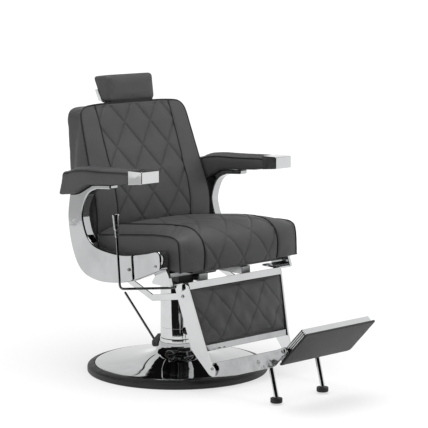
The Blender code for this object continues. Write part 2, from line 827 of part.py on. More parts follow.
def build_back_cushion(mats):
    heights = back_heights()
    cols = QUILT_CELLS + 2 * BOLSTER_CELLS
    rows = len(heights) - 1

    def across(i, z):
        half = back_half(z)
        inset = min(i, cols - i)
        quilted = min(QUILT_HALF, half - 0.02)
        if inset >= BOLSTER_CELLS:
            return between(-quilted, quilted, (i - BOLSTER_CELLS) / QUILT_CELLS)
        sign = -1 if i < cols / 2 else 1
        return sign * between(half, quilted, (inset / BOLSTER_CELLS) ** 0.7)

    def front(i, j):
        z = heights[j]
        x = across(i, z)
        y = back_front_y(z)
        inset = min(i, cols - i)
        near_end = min(j, rows - j)
        if inset == 0 or near_end == 0:
            y += BACK_EDGE_DROP
        elif inset == BOLSTER_CELLS:
            y += PIPING_DEPTH
        elif inset < BOLSTER_CELLS:
            y -= BACK_CROWN
        elif near_end > 1:
            y += quilt(x, z - BACK_TOP_Z) - BACK_CROWN * (1 - (x / QUILT_HALF) ** 2)
        return (x, y, z)

    def back(i, j):
        z = heights[j]
        return (across(i, z), board_y(z) - GAP, z)

    add_part("back_cushion", *pad(rows, cols, front, back), mats["leather"], RECLINE_AXIS)


def build_back_shell(mats):
    heights = [between(BACK_BOTTOM_Z, BACK_TOP_Z - BACK_CORNER_RADIUS, k / 5) for k in range(6)]
    heights += [BACK_TOP_Z - 0.020, BACK_TOP_Z - 0.006, BACK_TOP_Z]
    cols = 8
    rows = len(heights) - 1
    meet = BACK_BOARD_THICKNESS + GAP

    def across(i, z):
        return (back_half(z) - SHELL_INSET) * math.sin(math.pi / 2 * between(-1, 1, i / cols))

    def rear(i, j):
        z = heights[j]
        inside = 0 < i < cols and 0 < j < rows
        return (across(i, z), back_rear_y(z) + (SHELL_CROWN if inside else 0), z)

    def seat_side(i, j):
        z = heights[j]
        return (across(i, z), board_y(z, meet), z)

    shell = add_part("back_shell", *pad(rows, cols, rear, seat_side), mats["leather"], RECLINE_AXIS)
    low, high = BACK_BOTTOM_Z + 0.030, BACK_TOP_Z - 0.016
    before = -0.010
    behind = SHELL_CROWN - SHELL_WALL
    pocket = [(board_y(low, before), low), (back_rear_y(low) + behind, low)]
    pocket += [(back_rear_y(high) + behind, high), (board_y(high, before), high)]
    combine(shell, "DIFFERENCE", prism_x(pocket, -SHELL_POCKET_HALF, SHELL_POCKET_HALF))
    slot = bar_shape(BAR_HALF + BAR_SLOT_PLAY, BAR_SLOT_PLAY, BAR_BOTTOM_Z + 0.1, BACK_TOP_Z + 0.02)
    combine(shell, "DIFFERENCE", slot)


def build_back_frame(mats):
    high = BACK_TOP_Z - 0.020
    low = BACK_BOARD_LOW[1]
    ends = [(board_y(low), low), (board_y(low, BACK_BOARD_THICKNESS), low)]
    ends += [(board_y(high, BACK_BOARD_THICKNESS), high), (board_y(high), high)]
    board = prism_x(ends, -BACK_BOARD_HALF, BACK_BOARD_HALF)
    add_part("back_board", *board, mats["board"], RECLINE_AXIS, smooth=False)

    py, pz = RECLINE_PIVOT
    link_pin = (py + LINK_OFFSET[0], pz + LINK_OFFSET[1])
    ly, lz = link_pin
    outline = rounded(
        [
            (ly - 0.012, lz - 0.012, 0.011),
            (ly + 0.013, lz - 0.012, 0.011),
            (py + 0.022, pz - 0.002, 0.020),
            (board_y(CRANK_TOP_Z, 0.010), CRANK_TOP_Z, 0.003),
            (board_y(CRANK_TOP_Z, -0.006), CRANK_TOP_Z, 0.003),
            (py - 0.016, pz + 0.012, 0.015),
        ]
    )
    outer = CRANK_INNER_X + CRANK_THICKNESS
    for side, sign in SIDES:
        crank_xs = side_xs(sign, CRANK_INNER_X, outer)
        crank = add_part("back_crank_" + side, *prism_x(outline, *crank_xs), mats["steel"], RECLINE_AXIS)
        bore_xs = side_xs(sign, CRANK_INNER_X - CUT_PAST, outer + CUT_PAST)
        combine(crank, "DIFFERENCE", pin_x(RECLINE_PIVOT, RECLINE_PIN_RADIUS + PIN_PLAY, *bore_xs))
        pin_xs = side_xs(sign, LINK_INNER_X - PIN_PROUD, outer - CRANK_THICKNESS / 2)
        combine(crank, "UNION", pin_x(link_pin, LINK_PIN_RADIUS, *pin_xs))

        collar_xs = side_xs(sign, outer + GAP, ARM_INNER_X - GAP)
        collar = pin_x(RECLINE_PIVOT, RECLINE_COLLAR_RADIUS, *collar_xs)
        pin = add_part("recline_pin_" + side, *collar, mats["steel"])
        core_end = between(outer, ARM_INNER_X, RECLINE_CORE_SHARE)
        core_xs = side_xs(sign, CRANK_INNER_X + GAP, core_end)
        combine(pin, "UNION", pin_x(RECLINE_PIVOT, RECLINE_PIN_RADIUS, *core_xs))


def upward(flat):
    """The unit vector square to a flat one, on its upper side."""
    square = flat.orthogonal().normalized()
    return square if square.y > 0 else -square


def build_links(mats):
    half = LINK_HEIGHT / 2
    rear = Vector(RECLINE_PIVOT) + Vector(LINK_OFFSET)
    front = Vector(LEGREST_PIVOT) + Vector(LINK_OFFSET)
    kink = Vector(LINK_KINK)
    corners = []
    for end, turn in ((front, 1), (rear, -1)):
        past = end + (end - kink).normalized() * half
        rise = upward(end - kink) * half * turn
        corners += [(*(past + rise), half * 0.9), (*(past - rise), half * 0.9)]
    middle = (upward(front - kink) + upward(rear - kink)).normalized() * half
    corners.insert(2, (*(kink - middle), 0.006))
    corners.append((*(kink + middle), 0.006))
    outline = rounded(corners)
    for side, sign in SIDES:
        xs = side_xs(sign, LINK_INNER_X, LINK_INNER_X + LINK_THICKNESS)
        link = add_part("link_" + side, *prism_x(outline, *xs), mats["chrome"], (0, *rear))
        bore_xs = side_xs(sign, LINK_INNER_X - CUT_PAST, LINK_INNER_X + LINK_THICKNESS + CUT_PAST)
        for place in (rear, front):
            combine(link, "DIFFERENCE", pin_x(place, LINK_PIN_RADIUS + PIN_PLAY, *bore_xs))


# Headrest


def bar_y(z, through=0.0):
    return board_y(z, BACK_BOARD_THICKNESS + GUIDE_WALL + 2 * GAP + through)


def bar_shape(half, play, low, high):
    front, rear = -play, BAR_THICKNESS + play
    outline = [(bar_y(low, front), low), (bar_y(low, rear), low)]
    outline += [(bar_y(high, rear), high), (bar_y(high, front), high)]
    return prism_x(outline, -half, half)


def build_headrest(mats):
    guide = add_part(
        "headrest_guide",
        *bar_shape(BAR_HALF + GUIDE_WALL, GUIDE_WALL + GAP, GUIDE_BOTTOM_Z, GUIDE_TOP_Z),
        mats["steel"],
        RECLINE_AXIS,
        smooth=False,
    )
    combine(guide, "DIFFERENCE", bar_shape(BAR_HALF + GAP, GAP, GUIDE_BOTTOM_Z - 0.05, GUIDE_TOP_Z + 0.05))

    def cushion_rear(z):
        (y0, z0), (y1, z1) = HEADREST_REAR_LOW, HEADREST_REAR_HIGH
        return between(y0, y1, (z - z0) / (z1 - z0))

    low, high = BRACKET_LOW_Z, BRACKET_HIGH_Z
    near_low, near_high = cushion_rear(low) + GAP, cushion_rear(high) + GAP
    plate = [
        (near_low, low),
        (near_low + BRACKET_THICKNESS, low),
        (near_high + BRACKET_THICKNESS, high - 0.003),
        (near_high, high),
    ]
    origin = (0, bar_y(BACK_TOP_Z), BACK_TOP_Z)
    body = prism_x(plate, -BRACKET_HALF, BRACKET_HALF)
    bracket = add_part("headrest_bracket", *body, mats["chrome"], origin)
    bevel(bracket, 0.0015)
    bar = bar_shape(BAR_HALF, 0, BAR_BOTTOM_Z, low - GAP)
    add_part("headrest_bar", *bar, mats["chrome"], origin, smooth=False)

    def place(a, b, c):
        z = between(HEADREST_BOTTOM_Z, HEADREST_TOP_Z, (c + 1) / 2)
        front = between(*HEADREST_FRONT_YS, (c + 1) / 2) - HEADREST_CROWN * (1 - a * a) * (1 - c * c)
        y = between(front, cushion_rear(z), (b + 1) / 2)
        return (HEADREST_HALF * a, y, z)

    def rounded_cube(a, b, c):
        ball = (
            a * math.sqrt(1 - b * b / 2 - c * c / 2 + b * b * c * c / 3),
            b * math.sqrt(1 - c * c / 2 - a * a / 2 + c * c * a * a / 3),
            c * math.sqrt(1 - a * a / 2 - b * b / 2 + a * a * b * b / 3),
        )
        return tuple(between(flat, round_, HEADREST_ROUND) for flat, round_ in zip((a, b, c), ball))

    cube = bmesh.new()
    bmesh.ops.create_cube(cube, size=2)
    bmesh.ops.subdivide_edges(cube, edges=cube.edges[:], cuts=6, use_grid_fill=True)
    verts = [place(*rounded_cube(*v.co)) for v in cube.verts]
    faces = [[v.index for v in f.verts] for f in cube.faces]
    cube.free()
    add_part("headrest_cushion", verts, faces, mats["leather"], origin)


# Legrest

LEG_DOWN = (Vector(PAD_FOOT) - Vector(PAD_TOP)).normalized()
LEG_OUT = Vector((LEG_DOWN.y, -LEG_DOWN.x))


def leg(s, n):
    """The (y, z) place this far down the legrest and this far in front of its face."""
    return Vector(PAD_TOP) + LEG_DOWN * s + LEG_OUT * n


def plate_x(s):
    return LEG_PLATE_X - LEG_PLATE_TAPER * s


def inside_x(s):
    return plate_x(s) - LEG_PLATE_THICKNESS / 2 - GAP


def leg_plate(sign):
    outline = rounded(
        [
            (-0.0134, -0.066, 0.008),
            (-0.0205, -0.006, 0.009),
            (0.2000, 0.000, 0.120),
            (0.2500, 0.008, 0.040),
            (0.2640, 0.026, 0.014),
            (0.2900, 0.010, 0.014),
            (0.2850, -0.012, 0.020),
            (0.1950, -0.066, 0.080),
        ]
    )
    layers = []
    for half in (-LEG_PLATE_THICKNESS / 2, LEG_PLATE_THICKNESS / 2):
        layers.append([(sign * (plate_x(s) + half), *leg(s, n)) for s, n in outline])
    return loft(layers)


def build_legrest(mats):
    link_pin = Vector(LEGREST_PIVOT) + Vector(LINK_OFFSET)
    for side, sign in SIDES:
        plate = add_part("legrest_plate_" + side, *leg_plate(sign), mats["chrome"], LEG_AXIS)
        bore_xs = side_xs(sign, LEG_PLATE_X - CUT_PAST, LEG_PLATE_X + CUT_PAST)
        combine(plate, "DIFFERENCE", pin_x(LEGREST_PIVOT, LINK_PIN_RADIUS + PIN_PLAY, *bore_xs))
        pin_xs = side_xs(sign, LINK_INNER_X - PIN_PROUD, LEG_PLATE_X + LEG_PLATE_THICKNESS / 2)
        combine(plate, "UNION", pin_x(link_pin, LINK_PIN_RADIUS, *pin_xs))

    rows, cols = 12, 24
    stitch = 0.5 * DIAMOND_HEIGHT

    def front(i, j):
        s = between(0.001, LEG_PAD_LENGTH - 0.001, j / rows)
        half = inside_x(s) - 0.001
        x = between(-half, half, i / cols)
        near = min(i, cols - i, j, rows - j)
        n = LEG_PAD_CROWN * (1 - (2 * i / cols - 1) ** 4) * (1 - (2 * j / rows - 1) ** 4)
        if near > 0:
            n -= 0.8 * quilt(x, s - stitch)
        else:
            n -= 0.005
        return (x, *leg(s, n))

    def back(i, j):
        s = between(0.001, LEG_PAD_LENGTH - 0.001, j / rows)
        half = inside_x(s) - 0.001
        return (between(-half, half, i / cols), *leg(s, -LEG_PAD_THICKNESS))

    add_part("legrest_cushion", *pad(rows, cols, front, back), mats["leather"], LEG_AXIS)

    def sheet(name, s0, s1, n0, n1, mat):
        ends = []
        for s in (s0, s1):
            half = inside_x(s)
            corners = ((-half, n0), (half, n0), (half, n1), (-half, n1))
            ends.append([(x, *leg(s, n)) for x, n in corners])
        add_part(name, *loft(ends), mats[mat], LEG_AXIS, smooth=False)

    panel_front = -LEG_PAD_THICKNESS - GAP
    panel_rear = panel_front - LEG_PANEL_THICKNESS
    sheet("legrest_panel", 0.001, LEG_PAD_LENGTH + 0.004, panel_rear, panel_front, "black")
    strip_rear = -STRIP_SETBACK - STRIP_THICKNESS
    sheet("legrest_strip_top", -STRIP_HEIGHT, 0.001 - GAP, strip_rear, -STRIP_SETBACK, "chrome")
    under = LEG_PAD_LENGTH - 0.001 + GAP
    sheet("legrest_strip_bottom", under, under + 0.020, strip_rear, -STRIP_SETBACK, "chrome")


# Footrest

PLATE_UP = (Vector(PLATE_FRONT) - Vector(PLATE_REAR)).normalized()
PLATE_THROUGH = Vector((PLATE_UP.y, -PLATE_UP.x))


def foot(u, w):
    """The (y, z) place this far up the footplate and this far in from its padded face."""
    return Vector(PLATE_REAR) + PLATE_UP * u + PLATE_THROUGH * w


PLATE_AXIS = tuple(foot(*PLATE_PIVOT))


def build_footrest(mats):
    outline = rounded(
        [
            (-0.3380, 0.1000, 0.012),
            (-0.3450, 0.0570, 0.018),
            (-0.4700, 0.0860, 0.100),
            (*foot(-0.008, 0.0060), 0.050),
            (*foot(0.072, 0.0080), 0.005),
            (*foot(0.0735, 0.0235), 0.005),
            (-0.6450, 0.1960, 0.060),
        ]
    )
    leg_line = LEG_DOWN / LEG_DOWN.y
    for side, sign in SIDES:
        xs = side_xs(sign, FOOT_ARM_INNER_X, FOOT_ARM_INNER_X + FOOT_ARM_THICKNESS)
        arm = add_part("footrest_arm_" + side, *prism_x(outline, *xs), mats["chrome"], LEG_AXIS)
        bevel(arm, 0.001, 1)
        root = FOOT_ARM_INNER_X + FOOT_ARM_THICKNESS / 2
        boss_xs = side_xs(sign, PLATE_HALF - PLATE_FRAME_INSET + GAP, root)
        combine(arm, "UNION", pin_x(PLATE_AXIS, PLATE_BOSS_RADIUS, *boss_xs))
        pin_xs = side_xs(sign, FOOT_ARM_INNER_X - PLATE_PIN_DEPTH, root)
        combine(arm, "UNION", pin_x(PLATE_AXIS, PLATE_PIN_RADIUS, *pin_xs))
        top = Vector(CROSSBAR) + LEG_DOWN * (CROSSBAR_RADIUS + GAP)
        foot_z = RUBBER_FOOT_TOP_Z + 0.0024
        low = top + leg_line * (foot_z - top.y)
        post = rod([(sign * POST_X, *top), (sign * POST_X, *low)], POST_RADIUS, PIN_STEPS)
        add_part("footrest_post_" + side, *post, mats["chrome"], LEG_AXIS)

        def at_foot(a, b, h, centre=(sign * POST_X, low.x)):
            return (centre[0] + a, centre[1] + b, h)

        rubber = [
            (RUBBER_FOOT_RADIUS - RUBBER_FOOT_EDGE, RUBBER_FOOT_BOTTOM_Z),
            (RUBBER_FOOT_RADIUS, RUBBER_FOOT_BOTTOM_Z + RUBBER_FOOT_EDGE),
            (RUBBER_FOOT_RADIUS, RUBBER_FOOT_TOP_Z - RUBBER_FOOT_EDGE),
            (RUBBER_FOOT_RADIUS - RUBBER_FOOT_EDGE, RUBBER_FOOT_TOP_Z),
        ]
        rings = []
        for r, h in rubber:
            rings.append([at_foot(r * math.cos(a), r * math.sin(a), h) for a in circle(24)])
        add_part("rubber_foot_" + side, *loft(rings), mats["rubber"], LEG_AXIS)
    reach = FOOT_ARM_INNER_X - GAP
    bar = pin_x(CROSSBAR, CROSSBAR_RADIUS, -reach, reach)
    add_part("footrest_crossbar", *bar, mats["chrome"], LEG_AXIS)


def footplate_layer(inset, soft, w0, w1):
    length = (Vector(PLATE_FRONT) - Vector(PLATE_REAR)).length
    half = PLATE_HALF - inset
    corners = ((-half, inset), (half, inset), (half, length - inset), (-half, length - inset))
    outline = rounded([(x, u, soft) for x, u in corners])
    return loft([[(x, *foot(u, w)) for x, u in outline] for w in (w0, w1)])


def build_footplate(mats):
    origin = (0, *PLATE_AXIS)
    underside = PLATE_PAD_THICKNESS + GAP
    body = footplate_layer(PLATE_FRAME_INSET, PLATE_CORNER, underside, PLATE_THICKNESS)
    frame = add_part("footplate_frame", *body, mats["chrome"], origin)
    for sign in (-1, 1):
        bore_xs = side_xs(sign, FOOT_ARM_INNER_X - PLATE_PIN_DEPTH - PIN_PLAY, PLATE_HALF + CUT_PAST)
        combine(frame, "DIFFERENCE", pin_x(PLATE_AXIS, PLATE_PIN_RADIUS + PIN_PLAY, *bore_xs))
    pad_body = footplate_layer(0, PLATE_CORNER, 0, PLATE_PAD_THICKNESS)
    add_part("footplate_pad", *pad_body, mats["leather"], origin)
    tread_low = PLATE_THICKNESS + GAP
    tread = footplate_layer(TREAD_INSET, TREAD_CORNER, tread_low, tread_low + TREAD_THICKNESS)
    add_part("footplate_tread", *tread, mats["rubber"], origin)


# Recline lever


def build_lever(mats):
    shaft = Vector(LEVER_SHAFT)
    axis = (0, shaft.y, shaft.z)
    bend = Vector(LEVER_BEND)
    top = Vector(LEVER_TOP)
    turn = 0.012
    path = [top]
    before = bend + (top - bend).normalized() * turn
    after = bend + (shaft - bend).normalized() * turn
    for step in range(5):
        t = step / 4
        path.append(before * (1 - t) ** 2 + bend * 2 * t * (1 - t) + after * t**2)
    path += [shaft, Vector((LEVER_SHAFT_END_X, shaft.y, shaft.z))]
    add_part("lever_rod", *rod(path, LEVER_ROD_RADIUS, ROD_STEPS), mats["chrome"], axis)

    up = (top - bend).normalized()
    across = up.orthogonal().normalized()
    other = up.cross(across)
    tall = (LEVER_GRIP_TOP_Z - top.z) / up.z
    neck = LEVER_FERRULE_RADIUS
    profile = [
        (neck * 0.75, GAP),
        (neck, 0.004),
        (neck, LEVER_FERRULE_LENGTH),
        (LEVER_GRIP_RADIUS * 0.75, LEVER_FERRULE_LENGTH + 0.003),
        (LEVER_GRIP_RADIUS, tall * 0.94),
        (LEVER_GRIP_RADIUS * 0.88, tall * 0.985),
        (LEVER_GRIP_RADIUS * 0.5, tall),
    ]
    rings = []
    for r, h in profile:
        rings.append([top + up * h + (across * math.cos(a) + other * math.sin(a)) * r for a in circle(24)])
    add_part("lever_grip", *loft(rings), mats["grip"], axis)

    outline = rounded(
        [
            (shaft.y - 0.014, shaft.z - 0.013, 0.010),
            (shaft.y + 0.014, shaft.z - 0.013, 0.010),
            (shaft.y + 0.018, RAIL_Z - GAP, 0),
            (shaft.y - 0.018, RAIL_Z - GAP, 0),
        ]
    )
    bracket = add_part("lever_bracket", *prism_x(outline, -0.116, -0.092), mats["black"])
    bore = LEVER_ROD_RADIUS + PIN_PLAY
    combine(bracket, "DIFFERENCE", pin_x((shaft.y, shaft.z), bore, -0.15, -0.05))


def main():
    clear_scene()
    mats = make_materials()
    build_base(mats)
    build_pedal(mats)
    build_column(mats)
    build_seat_frame(mats)
    build_front_brackets(mats)
    build_arms(mats)
    build_seat_cushion(mats)
    build_back_cushion(mats)
    build_back_frame(mats)
    build_back_shell(mats)
    build_links(mats)
    build_headrest(mats)
    build_legrest(mats)
    build_footrest(mats)
    build_footplate(mats)
    build_lever(mats)


main()
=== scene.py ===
"""The looks of a hydraulic barber chair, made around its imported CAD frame.

Metres, in the CAD's own frame: the chair faces -Y, +X is the sitter's left and it stands on Z 0.
"""

import json
import math

import bpy
import numpy as np
from mathutils import Matrix, Vector
from mathutils.bvhtree import BVHTree

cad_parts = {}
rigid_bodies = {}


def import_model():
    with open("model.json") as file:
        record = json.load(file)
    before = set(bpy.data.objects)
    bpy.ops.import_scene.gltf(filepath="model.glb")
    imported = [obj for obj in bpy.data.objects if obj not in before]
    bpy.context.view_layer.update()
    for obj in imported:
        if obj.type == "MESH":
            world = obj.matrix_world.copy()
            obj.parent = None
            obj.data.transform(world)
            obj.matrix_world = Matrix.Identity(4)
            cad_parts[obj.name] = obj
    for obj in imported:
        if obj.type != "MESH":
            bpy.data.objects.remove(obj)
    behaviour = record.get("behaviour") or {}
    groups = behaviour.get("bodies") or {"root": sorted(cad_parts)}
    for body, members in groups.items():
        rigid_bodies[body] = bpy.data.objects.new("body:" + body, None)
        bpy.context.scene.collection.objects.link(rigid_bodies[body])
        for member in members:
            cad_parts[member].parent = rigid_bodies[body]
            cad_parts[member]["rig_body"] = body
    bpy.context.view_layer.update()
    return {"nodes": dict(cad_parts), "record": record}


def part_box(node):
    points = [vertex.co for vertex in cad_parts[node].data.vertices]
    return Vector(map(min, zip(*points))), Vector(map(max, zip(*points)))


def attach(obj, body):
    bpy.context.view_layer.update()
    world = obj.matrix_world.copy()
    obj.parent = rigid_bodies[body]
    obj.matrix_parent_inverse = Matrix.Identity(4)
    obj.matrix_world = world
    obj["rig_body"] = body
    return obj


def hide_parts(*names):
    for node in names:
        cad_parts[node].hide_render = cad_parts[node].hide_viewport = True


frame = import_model()
nodes = frame["nodes"]
slot_of = {row["node"]: row["material_slot"] for row in frame["record"]["subparts"]}
SIDES = (("R", -1), ("L", 1))


# Handling pieces


def only(*pieces):
    """Selects these pieces and nothing else."""
    bpy.ops.object.select_all(action="DESELECT")
    for piece in pieces:
        piece.select_set(True)
    bpy.context.view_layer.objects.active = pieces[0]


def open_up(piece):
    only(piece)
    bpy.ops.object.mode_set(mode="EDIT")
    bpy.ops.mesh.select_all(action="SELECT")


def close_up():
    bpy.ops.object.mode_set(mode="OBJECT")


def work(piece, kind, **values):
    """Puts a modifier on a piece and applies it."""
    only(piece)
    step = piece.modifiers.new(kind.lower(), kind)
    for name, value in values.items():
        setattr(step, name, value)
    bpy.ops.object.modifier_apply(modifier=step.name)


def smooth(piece, angle=40):
    """Shades a piece smooth, apart from edges sharper than this angle."""
    only(piece)
    bpy.ops.object.shade_smooth_by_angle(angle=math.radians(angle))


def ease_edges(piece, width, steps=3, angle=30):
    """Rounds the sharp edges, and keeps the flat faces flat in reflections."""
    work(piece, "BEVEL", width=width, segments=steps, limit_method="ANGLE", angle_limit=math.radians(angle))
    smooth(piece)
    work(piece, "WEIGHTED_NORMAL", keep_sharp=True, weight=100)


def copy_of(solid, name):
    """A copy of a CAD solid as a piece of its own, with its points merged."""
    piece = bpy.data.objects.new(name, nodes[solid].data.copy())
    bpy.context.scene.collection.objects.link(piece)
    open_up(piece)
    bpy.ops.mesh.remove_doubles(threshold=0.00002)
    close_up()
    return piece


def fit(piece, finish, *stands_for, body=None, slot=None):
    """Gives a piece its finish, the body that it rides on and the CAD solids that it stands for."""
    piece.data.materials.clear()
    piece.data.materials.append(finish)
    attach(piece, body or nodes[stands_for[0]]["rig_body"])
    if stands_for:
        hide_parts(*stands_for)


def dress(solid, finish, edge):
    """A CAD solid's own shape with its flat faces joined and its edges eased."""
    piece = copy_of(solid, solid + "_made")
    open_up(piece)
    bpy.ops.mesh.dissolve_limited(angle_limit=math.radians(0.5))
    close_up()
    ease_edges(piece, edge, 2)
    fit(piece, finish, solid)


def join(name, pieces):
    """Makes one piece of several, under a name of its own."""
    only(*pieces)
    if len(pieces) > 1:
        bpy.ops.object.join()
    pieces[0].name = name
    return pieces[0]


def points_of(piece):
    co = np.zeros(len(piece.data.vertices) * 3)
    piece.data.vertices.foreach_get("co", co)
    return co.reshape(-1, 3)


def normals_of(piece):
    co = np.zeros(len(piece.data.vertices) * 3)
    piece.data.vertex_normals.foreach_get("vector", co)
    return co.reshape(-1, 3)


def put_points(piece, co):
    piece.data.vertices.foreach_set("co", co.ravel())
    piece.data.update()


def mark(piece, name, values):
    """Keeps a number for each point, for the finish to read."""
    layer = piece.data.attributes.new(name, "FLOAT", "POINT")
    layer.data.foreach_set("value", np.asarray(values, np.float32))


# Drawing shapes


def curve_through(points, steps):
    """A smooth curve through points, with this many steps from each one to the next."""
    last = len(points) - 1
    curve = []
    for i in range(last):
        a, b, c, d = (Vector(points[min(max(i + k, 0), last)]) for k in (-1, 0, 1, 2))
        for step in range(steps):
            t = step / steps
            bend = (2 * a - 5 * b + 4 * c - d) * t**2 + (3 * b - a - 3 * c + d) * t**3
            curve.append(0.5 * (2 * b + (c - a) * t + bend))
    curve.append(Vector(points[-1]))
    return curve


def level(points, at):
    """The height of a line of (place, height) points at one place."""
    return float(np.interp(at, [p[0] for p in points], [p[1] for p in points]))


def rounded(corners, steps=12):
    """A closed flat outline from (x, y, radius) corners."""
    outline = []
    count = len(corners)
    for i, (x, y, radius) in enumerate(corners):
        here = Vector((x, y))
        back = (Vector(corners[i - 1][:2]) - here).normalized()
        on = (Vector(corners[(i + 1) % count][:2]) - here).normalized()
        half = back.angle(on) / 2
        centre = here + (back + on).normalized() * (radius / math.sin(half))
        start = here + back * (radius / math.tan(half)) - centre
        end = here + on * (radius / math.tan(half)) - centre
        if not radius:
            outline.append(here)
            continue
        for step in range(steps + 1):
            outline.append(centre + start.normalized().slerp(end.normalized(), step / steps) * radius)
    return outline


def draw(name, points):
    """A row of edges drawn from point to point. The piece is left open for editing."""
    points = [Vector(p) for p in points]
    bpy.ops.object.select_all(action="DESELECT")
    bpy.ops.mesh.primitive_plane_add(size=0.02)
    piece = bpy.context.object
    piece.name = name
    bpy.ops.object.mode_set(mode="EDIT")
    bpy.ops.mesh.merge(type="CENTER")
    bpy.ops.transform.translate(value=points[0])
    for here, after in zip(points, points[1:]):
        bpy.ops.mesh.extrude_region_move(TRANSFORM_OT_translate={"value": after - here})
    bpy.ops.mesh.select_all(action="SELECT")
    return piece


def plate(name, outline, through):
    """A flat plate: its outline filled, and pushed through to its thickness."""
    piece = draw(name, outline)
    bpy.ops.mesh.edge_face_add()
    bpy.ops.mesh.extrude_region_move(TRANSFORM_OT_translate={"value": through})
    bpy.ops.mesh.select_all(action="SELECT")
    bpy.ops.mesh.normals_make_consistent(inside=False)
    close_up()
    return piece


def plate_x(name, outline, x0, x1):
    """A flat plate square to the X axis, from a (y, z) outline."""
    return plate(name, [(x0, y, z) for y, z in outline], (x1 - x0, 0, 0))


def turned(name, profile, steps=128):
    """A round piece about the Z axis from a (radius, height) profile."""
    piece = draw(name, [(r, 0, z) for r, z in profile])
    bpy.ops.mesh.spin(steps=steps, angle=2 * math.pi, center=(0, 0, 0), axis=(0, 0, 1))
    bpy.ops.mesh.select_all(action="SELECT")
    bpy.ops.mesh.remove_doubles(threshold=0.00001)
    bpy.ops.mesh.normals_make_consistent(inside=False)
    close_up()
    smooth(piece)
    work(piece, "WEIGHTED_NORMAL", keep_sharp=True, weight=60)
    return piece


def skin(name, loops):
    """A closed skin through equal loops of points, with flat ends."""
    count = len(loops[0])
    verts = [point for loop in loops for point in loop]
    faces = [list(range(count)), [len(verts) - 1 - k for k in range(count)]]
    for row in range(len(loops) - 1):
        for k in range(count):
            near, far = row * count + k, row * count + (k + 1) % count
            faces.append((near, near + count, far + count, far))
    mesh = bpy.data.meshes.new(name)
    mesh.from_pydata(verts, [], faces)
    piece = bpy.data.objects.new(name, mesh)
    bpy.context.scene.collection.objects.link(piece)
    open_up(piece)
    bpy.ops.mesh.normals_make_consistent(inside=False)
    close_up()
    return piece


def carry(piece, place, pointing):
    """Moves a round piece made on the Z axis so that its axis points another way at a place."""
    turn = Vector((0, 0, 1)).rotation_difference(Vector(pointing)).to_matrix().to_4x4()
    piece.data.transform(Matrix.Translation(place) @ turn)
    return piece


def tube(name, points, radius, sides=16, closed=False):
    """A round bar along a row of points."""
    line = bpy.data.curves.new(name, "CURVE")
    line.dimensions = "3D"
    line.bevel_depth = radius
    line.bevel_resolution = sides // 4
    line.use_fill_caps = True
    spline = line.splines.new("POLY")
    spline.points.add(len(points) - 1)
    for knot, point in zip(spline.points, points):
        knot.co = (*point, 1)
    spline.use_cyclic_u = closed
    piece = bpy.data.objects.new(name, line)
    bpy.context.scene.collection.objects.link(piece)
    only(piece)
    bpy.ops.object.convert(target="MESH")
    smooth(piece, 50)
    return piece


# Shader helpers


def group(name, inputs, outputs):
    """A shader node group with its named sockets."""
    tree = bpy.data.node_groups.new(name, "ShaderNodeTree")
    for label, start in inputs:
        socket = tree.interface.new_socket(label, in_out="INPUT", socket_type="NodeSocketFloat")
        socket.default_value = start
    for label in outputs:
        tree.interface.new_socket(label, in_out="OUTPUT", socket_type="NodeSocketFloat")
    return tree, tree.nodes.new("NodeGroupInput"), tree.nodes.new("NodeGroupOutput")


def node(tree, kind, links=(), **values):
    """A shader node with its settings, and (socket, source) links into it."""
    made = tree.nodes.new("ShaderNode" + kind)
    for name, value in values.items():
        if name in made.inputs:
            made.inputs[name].default_value = value
        else:
            setattr(made, name, value)
    for socket, source in links:
        tree.links.new(source, made.inputs[socket])
    return made


def maths(tree, operation, *terms):
    """One Math node. Each term is a number or another node's output."""
    made = node(tree, "Math", operation=operation)
    for i, term in enumerate(terms):
        if isinstance(term, (int, float)):
            made.inputs[i].default_value = term
        else:
            tree.links.new(term, made.inputs[i])
    return made.outputs[0]


def ranged(tree, source, low, high, to_low=0.0, to_high=1.0):
    """A value carried from one range to another."""
    ends = {"From Min": low, "From Max": high, "To Min": to_low, "To Max": to_high}
    return node(tree, "MapRange", [("Value", source)], **ends).outputs["Result"]


def own_place(tree):
    """Each point's place in the piece's own frame."""
    return node(tree, "TexCoord").outputs["Object"]


def noise(tree, place, **values):
    """Soft random patches."""
    return node(tree, "TexNoise", [("Vector", place)], **values).outputs["Fac"]


def mixed(tree, share, one, other):
    """A colour between two, each a colour or another node's output."""
    made = node(tree, "Mix", [("Factor", share)], data_type="RGBA")
    for socket, colour in ((made.inputs[6], one), (made.inputs[7], other)):
        if isinstance(colour, tuple):
            socket.default_value = (*colour, 1)
        else:
            tree.links.new(colour, socket)
    return made.outputs[2]


